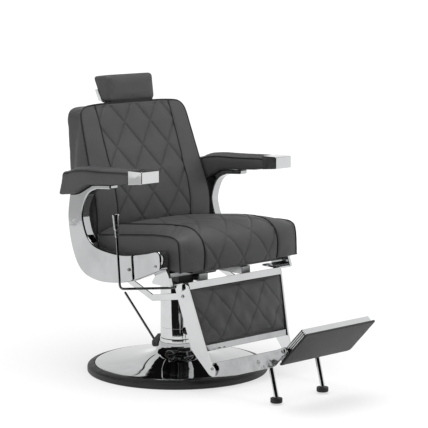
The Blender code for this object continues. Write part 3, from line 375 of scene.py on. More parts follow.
def make_hide_grain():
    """Pebbled hide: the height of its grain, and broad and fine changes of tone."""
    tree, given, out = group("hide_grain", [("Pebbles", 420.0)], ["Height", "Broad", "Fine"])
    place = own_place(tree)
    warp = node(tree, "TexNoise", [("Vector", place)], Scale=90.0, Detail=2.0)
    shift = node(tree, "VectorMath", [(0, warp.outputs["Color"])], operation="SCALE", Scale=0.004)
    moved = node(tree, "VectorMath", [(0, place), (1, shift.outputs[0])], operation="ADD")
    cells = node(
        tree,
        "TexVoronoi",
        [("Vector", moved.outputs[0]), ("Scale", given.outputs["Pebbles"])],
        feature="DISTANCE_TO_EDGE",
    )
    pebble = ranged(tree, cells.outputs["Distance"], 0.0, 0.28)
    fine = noise(tree, place, Scale=1500.0, Detail=3.0)
    pull = noise(tree, place, Scale=38.0, Detail=4.0)
    height = maths(tree, "MULTIPLY_ADD", fine, 0.25, pebble)
    height = maths(tree, "MULTIPLY_ADD", pull, 0.9, height)
    broad = noise(tree, place, Scale=7.0, Detail=4.0, Roughness=0.6)
    tree.links.new(height, out.inputs["Height"])
    tree.links.new(ranged(tree, broad, 0.3, 0.7), out.inputs["Broad"])
    tree.links.new(pebble, out.inputs["Fine"])
    return tree


def make_handling():
    """Marks of use on hard surfaces: soft smudges, and fine hairlines."""
    tree, given, out = group("handling", [("Spread", 9.0)], ["Smudge", "Hairline"])
    place = own_place(tree)
    cloud = node(
        tree, "TexNoise", [("Vector", place), ("Scale", given.outputs["Spread"])], Detail=6.0, Roughness=0.62
    )
    stretched = node(tree, "Mapping", [("Vector", place)], Scale=(40.0, 900.0, 900.0))
    lines = noise(tree, stretched.outputs[0], Scale=1.0, Detail=2.0)
    tree.links.new(ranged(tree, cloud.outputs["Fac"], 0.42, 0.72), out.inputs["Smudge"])
    tree.links.new(lines, out.inputs["Hairline"])
    return tree


HIDE_GRAIN = make_hide_grain()
HANDLING = make_handling()

# Quilting: diamonds sewn on the seat, the back and the legrest
QUILT_HALF = 0.1675
DIAMOND_WIDTH = 0.117
DIAMOND_HEIGHT = 0.158
LINE_STEEPNESS = math.hypot(1 / DIAMOND_WIDTH, 1 / DIAMOND_HEIGHT)
DIAMOND_SIDE = math.hypot(DIAMOND_WIDTH, DIAMOND_HEIGHT) / 2
THREAD_HALF = 0.0006
STITCH_LENGTH = 0.0055


def use_group(tree, kind, **values):
    """The outputs of a node group, with its inputs set."""
    return node(tree, "Group", node_tree=kind, **values).outputs


def cover(tree, shader, colour, roughness):
    """Leads a colour and a roughness into a finish."""
    tree.links.new(colour, shader.inputs["Base Color"])
    tree.links.new(roughness, shader.inputs["Roughness"])


def bumped(tree, shader, height, strength, depth):
    """Leads a height into a finish as fine relief."""
    bump = node(tree, "Bump", [("Height", height)], Strength=strength, Distance=depth)
    tree.links.new(bump.outputs["Normal"], shader.inputs["Normal"])


def new_finish(name):
    """A new material, its node tree and its shader."""
    finish = bpy.data.materials.new(name)
    finish.use_nodes = True
    tree = finish.node_tree
    return finish, tree, tree.nodes["Principled BSDF"]


def sewing_mask(tree):
    """Where thread shows: short stitches along both families of quilting lines."""
    sewn = node(tree, "UVMap", uv_map="sewing").outputs["UV"]
    parts = node(tree, "SeparateXYZ", [("Vector", sewn)]).outputs
    across = maths(tree, "MULTIPLY", parts["X"], 1 / DIAMOND_WIDTH)
    down = maths(tree, "MULTIPLY", parts["Y"], 1 / DIAMOND_HEIGHT)
    one = maths(tree, "ADD", across, down)
    other = maths(tree, "SUBTRACT", across, down)
    masks = []
    for line, run in ((one, other), (other, one)):
        off = maths(tree, "ABSOLUTE", maths(tree, "SUBTRACT", line, maths(tree, "ROUND", line)))
        near = maths(tree, "LESS_THAN", maths(tree, "MULTIPLY", off, 1 / LINE_STEEPNESS), THREAD_HALF)
        stitch = maths(tree, "FRACT", maths(tree, "MULTIPLY", run, DIAMOND_SIDE / STITCH_LENGTH))
        masks.append(maths(tree, "MULTIPLY", near, maths(tree, "LESS_THAN", stitch, 0.7)))
    either = maths(tree, "MAXIMUM", *masks)
    on_panel = node(tree, "Attribute", attribute_name="quilted").outputs["Fac"]
    return maths(tree, "MULTIPLY", either, maths(tree, "GREATER_THAN", on_panel, 0.5))


def make_leather(name, dark, light, sewn, rough=(0.44, 0.56)):
    """Hide with pebble grain, with painted shade in the seams and creases."""
    finish, tree, shader = new_finish(name)
    grain = use_group(tree, HIDE_GRAIN, Pebbles=520.0)
    colour = mixed(tree, grain["Broad"], dark, light)
    # Painted shade: the leather is darkened where the cover is drawn into its seams and quilting creases
    crease_shade = node(tree, "Attribute", attribute_name="crease_shade").outputs["Fac"]
    shade = tuple(0.42 * part for part in dark)
    colour = mixed(tree, maths(tree, "MULTIPLY", crease_shade, 0.75), colour, shade)
    height = grain["Height"]
    if sewn:
        thread = sewing_mask(tree)
        colour = mixed(tree, maths(tree, "MULTIPLY", thread, 0.6), colour, tuple(0.8 * part for part in light))
        height = maths(tree, "MULTIPLY_ADD", thread, 1.2, height)
    cover(tree, shader, colour, ranged(tree, grain["Fine"], 0, 1, rough[1], rough[0]))
    shader.inputs["Specular IOR Level"].default_value = 0.42
    bumped(tree, shader, height, 0.28, 0.0004)
    return finish


def make_metal(name, dark, light, rough, lines, spread=9.0, swell=0.0):
    """Metal with smudges that dull it a little, and hairlines. Swell makes its faces uneven."""
    finish, tree, shader = new_finish(name)
    marks = use_group(tree, HANDLING, Spread=spread)
    colour = mixed(tree, marks["Smudge"], light, dark)
    cover(tree, shader, colour, ranged(tree, marks["Smudge"], 0, 1, *rough))
    shader.inputs["Metallic"].default_value = 1.0
    if swell:
        waves = noise(tree, own_place(tree), Scale=26.0, Detail=2.0, Roughness=0.45)
        height = maths(tree, "MULTIPLY_ADD", marks["Hairline"], lines * 0.02, waves)
        bumped(tree, shader, height, 0.5, swell)
    else:
        bumped(tree, shader, marks["Hairline"], lines, 0.0002)
    return finish


def make_coated(name, dark, light, rough, texture, depth):
    """Enamel or rubber: a fine surface texture with dusty patches."""
    finish, tree, shader = new_finish(name)
    marks = use_group(tree, HANDLING, Spread=14.0)
    colour = mixed(tree, marks["Smudge"], dark, light)
    cover(tree, shader, colour, ranged(tree, marks["Smudge"], 0, 1, *rough))
    bumped(tree, shader, noise(tree, own_place(tree), Scale=texture, Detail=3.0), 0.35, depth)
    return finish


def make_plywood():
    """Birch ply: long grain, and thin plies at its edges."""
    finish, tree, shader = new_finish("birch_plywood")
    long = node(tree, "Mapping", [("Vector", own_place(tree))], Scale=(60.0, 400.0, 4.0))
    grain = noise(tree, long.outputs[0], Scale=1.0, Detail=5.0)
    colour = mixed(tree, grain, (0.30, 0.20, 0.11), (0.46, 0.33, 0.20))
    cover(tree, shader, colour, ranged(tree, grain, 0.3, 0.7, 0.75, 0.6))
    bumped(tree, shader, grain, 0.3, 0.0003)
    return finish


GREY_HIDE = ((0.066, 0.066, 0.068), (0.083, 0.083, 0.085))
BLACK_COAT = ((0.012, 0.012, 0.013), (0.024, 0.024, 0.025))
quilted_leather = make_leather("quilted_leather", *GREY_HIDE, True)
plain_leather = make_leather("plain_leather", *GREY_HIDE, False)
dark_leather = make_leather("dark_leather", (0.033, 0.033, 0.034), (0.042, 0.042, 0.043), False)
piping_leather = make_leather("piping_leather", (0.011, 0.011, 0.012), (0.017, 0.017, 0.018), False, (0.38, 0.5))
chrome = make_metal("polished_chrome", (0.56, 0.565, 0.57), (0.62, 0.625, 0.63), (0.035, 0.09), 0.02)
steel = make_metal("brushed_steel_finish", (0.42, 0.425, 0.43), (0.52, 0.525, 0.53), (0.30, 0.42), 0.25, 20.0)
# Painted shade: the dome's chrome is made darker than the rest of the chrome to dim its reflections
dome_chrome_painted_shade = make_metal("dome_chrome_painted_shade", (0.36, 0.365, 0.37), (0.43, 0.435, 0.44), (0.03, 0.08), 0.02)
cast_chrome = make_metal("cast_chrome", (0.42, 0.425, 0.43), (0.49, 0.495, 0.50), (0.05, 0.11), 0.02, 9.0, 0.0006)
pressed_chrome = make_metal(
    "pressed_chrome", (0.38, 0.385, 0.39), (0.46, 0.465, 0.47), (0.06, 0.14), 0.02, 16.0, 0.0024
)
# Painted shade: the rods' chrome is made far darker than the rest to stand in for the dark reflections on them
rod_chrome = make_metal("rod_chrome_painted_shade", (0.20, 0.203, 0.206), (0.28, 0.283, 0.286), (0.05, 0.12), 0.02)
# Painted shade: the satin grip is made darker to stand in for the shade on its side away from the light
grip_metal = make_metal("satin_grip_painted_shade", (0.36, 0.365, 0.37), (0.46, 0.465, 0.47), (0.16, 0.26), 0.12, 30.0)
enamel = make_coated("black_enamel_coat", *BLACK_COAT, (0.28, 0.44), 700.0, 0.0002)
rubber = make_coated("moulded_rubber", *BLACK_COAT, (0.48, 0.68), 1600.0, 0.0003)
plywood = make_plywood()
FINISH_OF = {
    "chrome": chrome,
    "brushed_steel": steel,
    "black_enamel": enamel,
    "dark_rubber": rubber,
    "plywood": plywood,
    "satin_grip": grip_metal,
}


# Base and column


def build_base():
    """The round pieces about the column, from (radius, height) profiles, and the sleeve's screw."""
    ring = [
        (0.2845, 0.0004), (0.3075, 0.0004), (0.3098, 0.0030), (0.3099, 0.0145), (0.3092, 0.0178),
        (0.3070, 0.0210), (0.3030, 0.0236), (0.2960, 0.0260), (0.2870, 0.0278), (0.2845, 0.0272),
        (0.2845, 0.0004),
    ]
    fit(turned("rubber_base_ring", ring, 160), rubber, "base_ring")

    trumpet = [
        (0.2835, 0.0262), (0.2760, 0.0303), (0.2250, 0.0352), (0.1650, 0.0412), (0.1200, 0.0492),
        (0.0900, 0.0592), (0.0726, 0.0716), (0.0650, 0.0820), (0.0633, 0.0880), (0.0632, 0.1000),
    ]
    flare = [tuple(p) for p in curve_through(trumpet, 6)]
    flare = [(0.2835, 0.0090)] + flare + [(0.0605, 0.1000), (0.0605, 0.0900)]
    fit(turned("chrome_dome", flare, 160), dome_chrome_painted_shade, "base_dome")

    collar = [
        (0.0525, 0.0705), (0.0600, 0.0705), (0.0600, 0.1120), (0.0592, 0.1130), (0.0525, 0.1130),
    ]
    fit(turned("pump_collar_ring", collar), chrome, "pump_collar")
    cylinder = [(0.0305, 0.0090), (0.0520, 0.0090), (0.0520, 0.2985), (0.0505, 0.3000), (0.0305, 0.3000)]
    fit(turned("pump_barrel", cylinder), chrome, "pump_cylinder")
    sleeve = [
        (0.0552, 0.1137), (0.0572, 0.1137), (0.0580, 0.1146), (0.0580, 0.1500), (0.0572, 0.1506),
        (0.0572, 0.1514), (0.0580, 0.1520), (0.0580, 0.3270), (0.0570, 0.3280), (0.0552, 0.3280),
        (0.0552, 0.1137),
    ]
    fit(turned("column_cover", sleeve), chrome, "column_sleeve")
    ram = [(0.0, 0.0402), (0.0285, 0.0402), (0.0298, 0.0416), (0.0298, 0.3278), (0.0, 0.3278)]
    fit(turned("polished_ram", ram), chrome, "lift_ram")
    screw = [
        (0.0, 0.0), (0.0034, 0.0), (0.0034, 0.0030), (0.0066, 0.0034), (0.0074, 0.0042), (0.0074, 0.0060),
        (0.0070, 0.0064), (0.0070, 0.0070), (0.0074, 0.0074), (0.0074, 0.0094), (0.0064, 0.0104), (0.0030, 0.0106),
        (0.0026, 0.0088), (0.0, 0.0088),
    ]
    screw = [(r * 1.45, h * 1.25) for r, h in screw]
    outward = Vector((-0.25, -0.968, 0))
    screw = carry(turned("sleeve_screw", screw, 32), outward * 0.0576 + Vector((0, 0, 0.143)), outward)
    fit(screw, enamel, body="column", slot="black_enamel")
    head = [
        (0.0, 0.3284), (0.0606, 0.3284), (0.0619, 0.3297), (0.0619, 0.3390), (0.0606, 0.3402), (0.0, 0.3402),
    ]
    fit(turned("swivel_bearing", head), steel, "ram_head")


def build_pedal():
    """The pump pedal: a rod with a groove near its end, and the eye that it turns on."""
    pivot = Vector((0, 0.106, 0.072))
    tip = Vector((0, 0.275, 0.231))
    aim = (tip - pivot).normalized()
    length = (tip - pivot).length
    stem = [(0.0044, 0.006), (0.0044, length - 0.046), (0.0040, length - 0.044), (0.0040, length - 0.043)]
    stem += [(0.0045, length - 0.041), (0.0045, length - 0.004), (0.0033, length - 0.001), (0.0, length)]
    rod = carry(turned("pedal_stem", stem, 32), pivot, aim)
    hub = [(0.0044, -0.0073), (0.0086, -0.0073), (0.0094, -0.0064), (0.0094, 0.0064), (0.0086, 0.0073)]
    hub += [(0.0044, 0.0073), (0.0044, -0.0073)]
    eye = carry(turned("pedal_eye", hub, 48), pivot, (1, 0, 0))
    fit(join("pump_pedal_rod", [rod, eye]), rod_chrome, "pedal_rod")


# Arms

ARM_INNER, ARM_FACE = 0.2802, 0.315
ARM_LINE = [
    (0.1985, 0.570), (0.2000, 0.534), (0.1900, 0.470), (0.1670, 0.408), (0.1330, 0.3655), (0.0835, 0.3455),
    (0.0050, 0.3405), (-0.1110, 0.358), (-0.2350, 0.4030), (-0.2590, 0.4140), (-0.2640, 0.4280),
    (-0.2640, 0.4550), (-0.2570, 0.4700), (-0.2400, 0.4740), (-0.1870, 0.4610), (-0.0735, 0.4430),
    (0.0420, 0.4510), (0.0950, 0.4780), (0.1200, 0.5270), (0.1230, 0.5650), (0.1070, 0.6080),
    (0.0850, 0.6320), (0.0500, 0.6460),
]
ARMREST_UNDER = [
    (-0.210, 0.6872), (-0.140, 0.6800), (-0.091, 0.6730), (0.072, 0.6600), (0.138, 0.6270), (0.157, 0.6220),
    (0.215, 0.6155),
]
ARMREST_OVER = [
    (-0.210, 0.7260), (-0.140, 0.7210), (-0.098, 0.7195), (0.000, 0.7140), (0.086, 0.7126), (0.144, 0.7060),
    (0.215, 0.6850),
]


def build_arms():
    """The two cast arms, from one outline that ends under the armrest."""
    outline = [tuple(p) for p in curve_through(ARM_LINE, 8)]
    tip = -0.020
    outline.append((tip, level(ARMREST_UNDER, tip) - 0.016))
    outline += [(y, level(ARMREST_UNDER, y) - 0.0004) for y in (tip, 0.072, 0.138, 0.157, 0.190)]
    for side, sign in SIDES:
        arm = plate_x("cast_arm_" + side, outline, sign * ARM_INNER, sign * ARM_FACE)
        ease_edges(arm, 0.005, 5)
        fit(arm, cast_chrome, "arm_frame_" + side)


# Rods, links and plates


def build_lever():
    """The recline lever: a bent rod and its turned grip."""
    top, bend = Vector((-0.345, -0.088, 0.505)), Vector((-0.345, -0.101, 0.337))
    shaft = Vector((-0.139, -0.125, 0.317))
    turn = 0.016
    before = bend + (top - bend).normalized() * turn
    after = bend + (shaft - bend).normalized() * turn
    path = [top]
    for step in range(11):
        t = step / 10
        path.append(before * (1 - t) ** 2 + bend * 2 * t * (1 - t) + after * t**2)
    path += [shaft, Vector((-0.0882, shaft.y, shaft.z))]
    fit(tube("lever_stem", path, 0.0041, 24), rod_chrome, "lever_rod")

    up = (top - bend).normalized()
    tall = (0.582 - top.z) / up.z
    neck, wide = 0.0064, 0.0117
    profile = [
        (0.0043, 0.0003), (0.0050, 0.0003), (neck, 0.0030), (neck, 0.0080), (neck * 0.93, 0.0088),
        (neck * 0.93, 0.0096), (neck, 0.0104), (neck, 0.0225), (neck * 1.10, 0.0240), (wide * 0.72, 0.0262),
        (wide * 0.76, 0.0290), (wide * 0.97, tall * 0.90), (wide, tall * 0.93), (wide * 0.97, tall * 0.965),
        (wide * 0.86, tall * 0.988), (wide * 0.5, tall - 0.0004), (0.0, tall - 0.0002),
    ]
    fit(carry(turned("lever_handle", profile, 64), top, up), grip_metal, "lever_grip")


PAD_TOP, PAD_FOOT = Vector((-0.2936, 0.344)), Vector((-0.3410, 0.163))
LEG_DOWN = (PAD_FOOT - PAD_TOP).normalized()
LEG_OUT = Vector((LEG_DOWN.y, -LEG_DOWN.x))


def leg(s, n):
    """The (y, z) place this far down the legrest and this far in front of its face."""
    return PAD_TOP + LEG_DOWN * s + LEG_OUT * n


def leg_side(s):
    """How far from the middle the legrest's side is, this far down."""
    return 0.213 - 0.115 * s


def build_legrest_plates():
    """The legrest's two side plates."""
    corners = [
        (-0.0134, -0.066, 0.008), (-0.0205, -0.006, 0.009), (0.2000, 0.000, 0.120), (0.2500, 0.008, 0.040),
        (0.2640, 0.026, 0.014), (0.2900, 0.010, 0.014), (0.2850, -0.012, 0.020), (0.1950, -0.066, 0.080),
    ]
    outline = rounded(corners)
    for side, sign in SIDES:
        points = [(sign * (leg_side(s) - 0.003), *leg(s, n)) for s, n in outline]
        piece = plate("legrest_cheek_" + side, points, (sign * 0.006, 0, 0))
        ease_edges(piece, 0.0012, 3)
        fit(piece, chrome, "legrest_plate_" + side)


PLATE_REAR, PLATE_FRONT = Vector((-0.6490, 0.1430)), Vector((-0.7592, 0.2560))
PLATE_LENGTH = (PLATE_FRONT - PLATE_REAR).length
PLATE_UP = (PLATE_FRONT - PLATE_REAR).normalized()
PLATE_THROUGH = Vector((PLATE_UP.y, -PLATE_UP.x))


def foot(u, w):
    """The (y, z) place this far up the footplate and this far in from its padded face."""
    return PLATE_REAR + PLATE_UP * u + PLATE_THROUGH * w


PLATE_HALF = 0.1615
PLATE_HINGE = foot(0.058, 0.0185)
POST_X = 0.107
FOOT_ARM_INNER, FOOT_ARM_FACE = 0.1702, 0.1763


def build_footrest():
    """The footrest's arms, posts, cups and cross bar, and the footplate's rim and tread."""
    outline = rounded(
        [
            (-0.3380, 0.1000, 0.012), (-0.3450, 0.0570, 0.018), (-0.4700, 0.0860, 0.100),
            (*foot(-0.008, 0.0060), 0.050), (*foot(0.072, 0.0080), 0.005), (*foot(0.0735, 0.0235), 0.005),
            (-0.6450, 0.1960, 0.060),
        ]
    )
    down = LEG_DOWN / LEG_DOWN.y
    bar = Vector((-0.550, 0.140))
    for side, sign in SIDES:
        arm = plate_x("foot_arm_" + side, outline, sign * FOOT_ARM_INNER, sign * FOOT_ARM_FACE)
        ease_edges(arm, 0.0012, 3)
        boss = [(0.0, 0.0), (0.0079, 0.0), (0.0079, 0.0150), (0.0, 0.0150)]
        boss = carry(turned("hinge_boss_" + side, boss, 32), (sign * 0.1560, *PLATE_HINGE), (sign, 0, 0))
        fit(join("foot_arm_" + side, [arm, boss]), pressed_chrome, "footrest_arm_" + side)
        top = bar + LEG_DOWN * 0.0083
        low = top + down * (0.0230 - top.y)
        post = tube("foot_post_" + side, [(sign * POST_X, *top), (sign * POST_X, *low)], 0.0081, 32)
        fit(post, chrome, "footrest_post_" + side)
        profile = [
            (0.0, 0.0052), (0.0176, 0.0052), (0.0190, 0.0060), (0.0195, 0.0074), (0.0195, 0.0100),
            (0.0189, 0.0106), (0.0189, 0.0112), (0.0195, 0.0118), (0.0195, 0.0186), (0.0190, 0.0198),
            (0.0178, 0.0203), (0.0, 0.0203),
        ]
        cup = carry(turned("rubber_cup_" + side, profile, 64), (sign * POST_X, low.x, 0), (0, 0, 1))
        fit(cup, rubber, "rubber_foot_" + side)
    cross = tube("foot_crossbar", [(-0.1697, *bar), (0.1697, *bar)], 0.0079, 32)
    fit(cross, chrome, "footrest_crossbar")

    def layer(inset, w):
        half = PLATE_HALF - inset
        soft = 0.006 - inset / 10
        corners = [(-half, inset), (half, inset), (half, PLATE_LENGTH - inset), (-half, PLATE_LENGTH - inset)]
        return [(x, *foot(u, w)) for x, u in rounded([(x, u, soft) for x, u in corners], 8)]

    ribs = [
        (0.0084, 0.0), (0.0110, 0.0009), (0.0138, 0.0), (0.0150, 0.0), (0.0176, 0.0009), (0.0204, 0.0),
        (0.0216, 0.0), (0.0242, 0.0009), (0.0270, 0.0), (0.0280, 0.0), (0.0290, 0.0012),
    ]
    rim = skin("footplate_rim", [layer(0.0062 + dip, w) for w, dip in ribs])
    ease_edges(rim, 0.0004, 2, 20)
    fit(rim, chrome, "footplate_frame")

    def strip(name, base, top, half):
        """A rubber strip across the plate. Its base and its top are each (start, end, depth)."""
        corners = [(base[0], base[2], 0), (base[1], base[2], 0)]
        corners += [(top[1], top[2], 0.001), (top[0], top[2], 0.001)]
        return plate_x(name, [foot(u, w) for u, w in rounded(corners, 3)], -half, half)

    near, far = 0.016, PLATE_LENGTH - 0.016
    strips = [strip("tread_mat", (near, far, 0.0293), (near, far, 0.0305), 0.1455)]
    for k in range(9):
        u = 0.024 + k * (PLATE_LENGTH - 0.048) / 8
        base, top = (u - 0.0042, u + 0.0042, 0.0300), (u - 0.0030, u + 0.0030, 0.0323)
        strips.append(strip("tread_rib", base, top, 0.138))
    tread = join("rubber_tread", strips)
    ease_edges(tread, 0.0005, 2)
    fit(tread, rubber, "footplate_tread")


LINK_REAR, LINK_FRONT = Vector((0.1485, 0.383)), Vector((-0.259, 0.317))


def build_links():
    """The two bars that tie the backrest's cranks to the legrest, each with a kink."""
    half = 0.011
    rear, front, kink = LINK_REAR, LINK_FRONT, Vector((-0.103, 0.290))

    def rise(flat):
        square = flat.orthogonal().normalized()
        return square if square.y > 0 else -square

    corners = []
    for end, turn in ((front, 1), (rear, -1)):
        past = end + (end - kink).normalized() * half
        lift = rise(end - kink) * half * turn
        corners += [(*(past + lift), half * 0.9), (*(past - lift), half * 0.9)]
    middle = (rise(front - kink) + rise(rear - kink)).normalized() * half
    corners.insert(2, (*(kink - middle), 0.012))
    corners.append((*(kink + middle), 0.012))
    outline = rounded(corners)
    for side, sign in SIDES:
        link = plate_x("link_bar_" + side, outline, sign * 0.2016, sign * 0.2063)
        ease_edges(link, 0.0009, 3)
        fit(link, chrome, "link_" + side)


# Bolts


def build_bolts():
    """One socket-head bolt, copied to each place where the chair shows one."""
    head = [(0.0, 0.0), (0.0060, 0.0), (0.0060, 0.0026), (0.0054, 0.0034)]
    head += [(0.0032, 0.0036), (0.0028, 0.0016), (0.0, 0.0016)]
    model = turned("bolt_model", head, 36)
    places = []
    for side, sign in SIDES:
        places += [
            ("seat", side, "arm_a", (sign * ARM_FACE, -0.1118, 0.3980), sign, 1.0),
            ("seat", side, "arm_b", (sign * ARM_FACE, -0.2400, 0.4250), sign, 0.8),
            ("legrest", side, "link", (sign * 0.2132, *LINK_FRONT), sign, 1.0),
            ("legrest", side, "foot", (sign * 0.1842, -0.3672, 0.0906), sign, 1.0),
            ("legrest", side, "hinge", (sign * FOOT_ARM_FACE, *PLATE_HINGE), sign, 1.2),
        ]
    for body, side, where, place, sign, size in places:
        bolt = bpy.data.objects.new("bolt_" + where + "_" + side, model.data.copy())
        bpy.context.scene.collection.objects.link(bolt)
        bolt.data.transform(Matrix.Scale(size, 4))
        carry(bolt, place, (sign, 0, 0))
        fit(bolt, steel, body=body, slot="brushed_steel")
    bpy.data.objects.remove(model)


# Cushions: each starts a little small, is blown up like a stuffed cover, and is then sewn


FILLING = {
    "quality": 4,
    "mass": 0.3,
    "tension_stiffness": 25,
    "compression_stiffness": 25,
    "shear_stiffness": 10,
    "bending_stiffness": 2,
    "use_pressure": True,
    "uniform_pressure_force": 4,
    "vertex_group_mass": "rest",
}
FILLING_STEPS = 20


def soft_start(name, piece, voxel, shrink, rounds):
    """A cushion's cover before it is filled: an even skin, drawn in a little."""
    piece.name = name
    work(piece, "REMESH", mode="VOXEL", voxel_size=voxel)
    work(piece, "SMOOTH", factor=0.5, iterations=rounds)
    work(piece, "DISPLACE", strength=-shrink, mid_level=0.0)
    return piece


def fill_cushions(cushions):
    """Blows up all the covers together, each held where it rests and along its piped edges."""
    for piece, rests, edges, _ in cushions:
        co = points_of(piece)
        held = rests(co)
        for path in edges:
            held |= off_path(co, path) < 0.006
        rest = piece.vertex_groups.new(name="rest")
        rest.add(np.flatnonzero(held).tolist(), 1.0, "REPLACE")
        cloth = piece.modifiers.new("filling", "CLOTH")
        for name, value in FILLING.items():
            setattr(cloth.settings, name, value)
        cloth.settings.effector_weights.gravity = 0
        cloth.collision_settings.use_collision = False
        cloth.collision_settings.use_self_collision = False
        cloth.point_cache.frame_start = 1
        cloth.point_cache.frame_end = FILLING_STEPS
    for step in range(1, FILLING_STEPS + 1):
        bpy.context.scene.frame_set(step)
    for piece, _, _, limit in cushions:
        before = points_of(piece)
        only(piece)
        bpy.ops.object.modifier_apply(modifier="filling")
        moved = points_of(piece) - before
        far = np.linalg.norm(moved, axis=1, keepdims=True)
        put_points(piece, before + moved * np.minimum(1.0, limit / np.maximum(far, 1e-9)))
        work(piece, "SMOOTH", factor=0.5, iterations=2)
    bpy.context.scene.frame_set(1)


def full_size(piece, *solids, axes=(0, 1, 2)):
    """Brings a filled cushion to the size of the CAD solids that it stands for."""
    boxes = [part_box(name) for name in solids]
    low = np.min([np.array(box[0]) for box in boxes], axis=0)
    high = np.max([np.array(box[1]) for box in boxes], axis=0)
    co = points_of(piece)
    mine_low, mine_high = co.min(0), co.max(0)
    full = low + (co - mine_low) / (mine_high - mine_low) * (high - low)
    for axis in axes:
        co[:, axis] = full[:, axis]
    put_points(piece, co)


def seam_depth(off, pillow, pillow_width=0.018, crease=0.0020, crease_width=0.0042):
    """How deep the cover is drawn in at this distance from a seam: a soft fall, and a narrow crease."""
    return pillow * np.exp(-((off / pillow_width) ** 2)) + crease * np.exp(-((off / crease_width) ** 2))


def off_line(across, down):
    """How far each point is from the nearest quilting line."""
    one = across / DIAMOND_WIDTH + down / DIAMOND_HEIGHT
    other = across / DIAMOND_WIDTH - down / DIAMOND_HEIGHT
    gaps = [np.abs(line - np.round(line)) for line in (one, other)]
    return np.minimum(*gaps) / LINE_STEEPNESS


def along_path(co, path):
    """How far each point is from a path in space, and how many points along it that is."""
    best, place = np.full(len(co), 1.0), np.zeros(len(co))
    path = np.array(path)
    for k in range(len(path) - 1):
        run = path[k + 1] - path[k]
        share = np.clip(((co - path[k]) @ run) / max(run @ run, 1e-12), 0, 1)
        far = np.linalg.norm(co - path[k] - share[:, None] * run, axis=1)
        closer = far < best
        best, place = np.where(closer, far, best), np.where(closer, k + share, place)
    return best, place


def off_path(co, path):
    return along_path(co, path)[0]


def draw_out(piece, paths, reach=0.014):
    """Brings a filled cushion's edges out to the lines of their piping."""
    tree = BVHTree.FromObject(piece, bpy.context.evaluated_depsgraph_get())
    co = points_of(piece)
    for path in paths:
        feet = np.array([tuple(tree.find_nearest(Vector(p))[0]) for p in path])
        lift = np.array([tuple(p) for p in path]) - feet
        far, place = along_path(co, feet)
        share = np.clip(1 - far / reach, 0, 1) ** 1.6
        steps = np.arange(len(feet))
        for axis in range(3):
            co[:, axis] += share * np.interp(place, steps, lift[:, axis])
    put_points(piece, co)


def sew(piece, across, down, panel, paths, pillow=0.0016):
    """Draws the cover in along its quilting lines and its piped seams."""
    co, out = points_of(piece), normals_of(piece)
    depth = np.where(panel, seam_depth(off_line(across, down), pillow), 0.0)
    for path in paths:
        depth = np.maximum(depth, 0.0028 * np.exp(-((off_path(co, path) / 0.0065) ** 2)))
    put_points(piece, co - out * depth[:, None])
    # Painted shade: the deeper a point is drawn in, the darker its leather is painted
    mark(piece, "crease_shade", np.clip(depth / 0.0044, 0, 1) ** 1.6)
    mark(piece, "quilted", panel.astype(float))
    layer = piece.data.uv_layers.new(name="sewing")
    corner = np.zeros(len(piece.data.loops), int)
    piece.data.loops.foreach_get("vertex_index", corner)
    layer.data.foreach_set("uv", np.stack([across[corner], down[corner]], 1).astype(np.float32).ravel())
    smooth(piece, 80)


def on_surface(piece, path, lift):
    """The path laid on a cushion's skin, a little proud of it."""
    tree = BVHTree.FromObject(piece, bpy.context.evaluated_depsgraph_get())
    laid = []
    for point in path:
        spot, out, _, _ = tree.find_nearest(Vector(point))
        laid.append(spot + out * lift)
    return laid


def pipe(name, cushion, paths, body, lift=0.0004):
    """Piping along a cushion's seams, each with its radius: a corded welt in one piece."""
    welts = []
    for path, radius in paths:
        laid = on_surface(cushion, path, lift)
        for _ in range(4):
            between = [(a + 2 * b + c) / 4 for a, b, c in zip(laid, laid[1:], laid[2:])]
            laid = [laid[0]] + between + [laid[-1]]
        welts.append(tube(name, laid, radius, 12))
    fit(join(name, welts), piping_leather, body=body, slot="grey_leather")


SEAT_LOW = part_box("seat_cushion")[0].z
SEAT_REAR = 0.104
SEAT_HALF = 0.269
SEAT_MIDDLE = curve_through(
    [(SEAT_REAR, 0.514), (-0.058, 0.5296), (-0.158, 0.539), (-0.237, 0.541), (-0.285, 0.526), (-0.312, 0.498),
     (-0.318, 0.455), (-0.316, SEAT_LOW)], 10)
SEAT_EDGE = curve_through(
    [(SEAT_REAR, 0.4865), (0.036, 0.4930), (-0.065, 0.5045), (-0.1635, 0.5140), (-0.2360, 0.5190),
     (-0.2800, 0.5160), (-0.2985, 0.5000), (-0.3040, 0.4600), (-0.3070, SEAT_LOW)], 10)
BACK_LOW, BACK_TOP = 0.455, 0.905
BACK_CORNER = 0.045
BACK_BEND = BACK_TOP - BACK_CORNER
BACK_REAR_ROUND = 0.016
BACK_FULLNESS = 0.013


def back_front(z):
    return level([(0.455, 0.118), (0.500, 0.1145), (0.550, 0.1150), (0.600, 0.1215), (0.650, 0.1380),
                  (0.700, 0.1590), (0.800, 0.1930), (0.892, 0.2255), (0.910, 0.2320)], z)


def back_rear(z):
    return level([(0.440, 0.218), (0.550, 0.240), (0.692, 0.266), (0.857, 0.291), (0.910, 0.297)], z)


def back_half(z):
    half = level([(0.440, 0.260), (0.590, 0.261), (0.700, 0.255), (0.885, 0.241), (0.910, 0.238)], z)
    over = z - BACK_BEND
    if over > 0:
        half -= BACK_CORNER - math.sqrt(max(BACK_CORNER**2 - over**2, 0))
    return half


def evenly(curve, steps):
    """The points at even steps along a flat curve."""
    points = np.array([tuple(p) for p in curve])
    run = np.concatenate([[0], np.cumsum(np.linalg.norm(np.diff(points, axis=0), axis=1))])
    at = np.linspace(0, run[-1], steps + 1)
    return np.stack([np.interp(at, run, points[:, 0]), np.interp(at, run, points[:, 1])], 1)


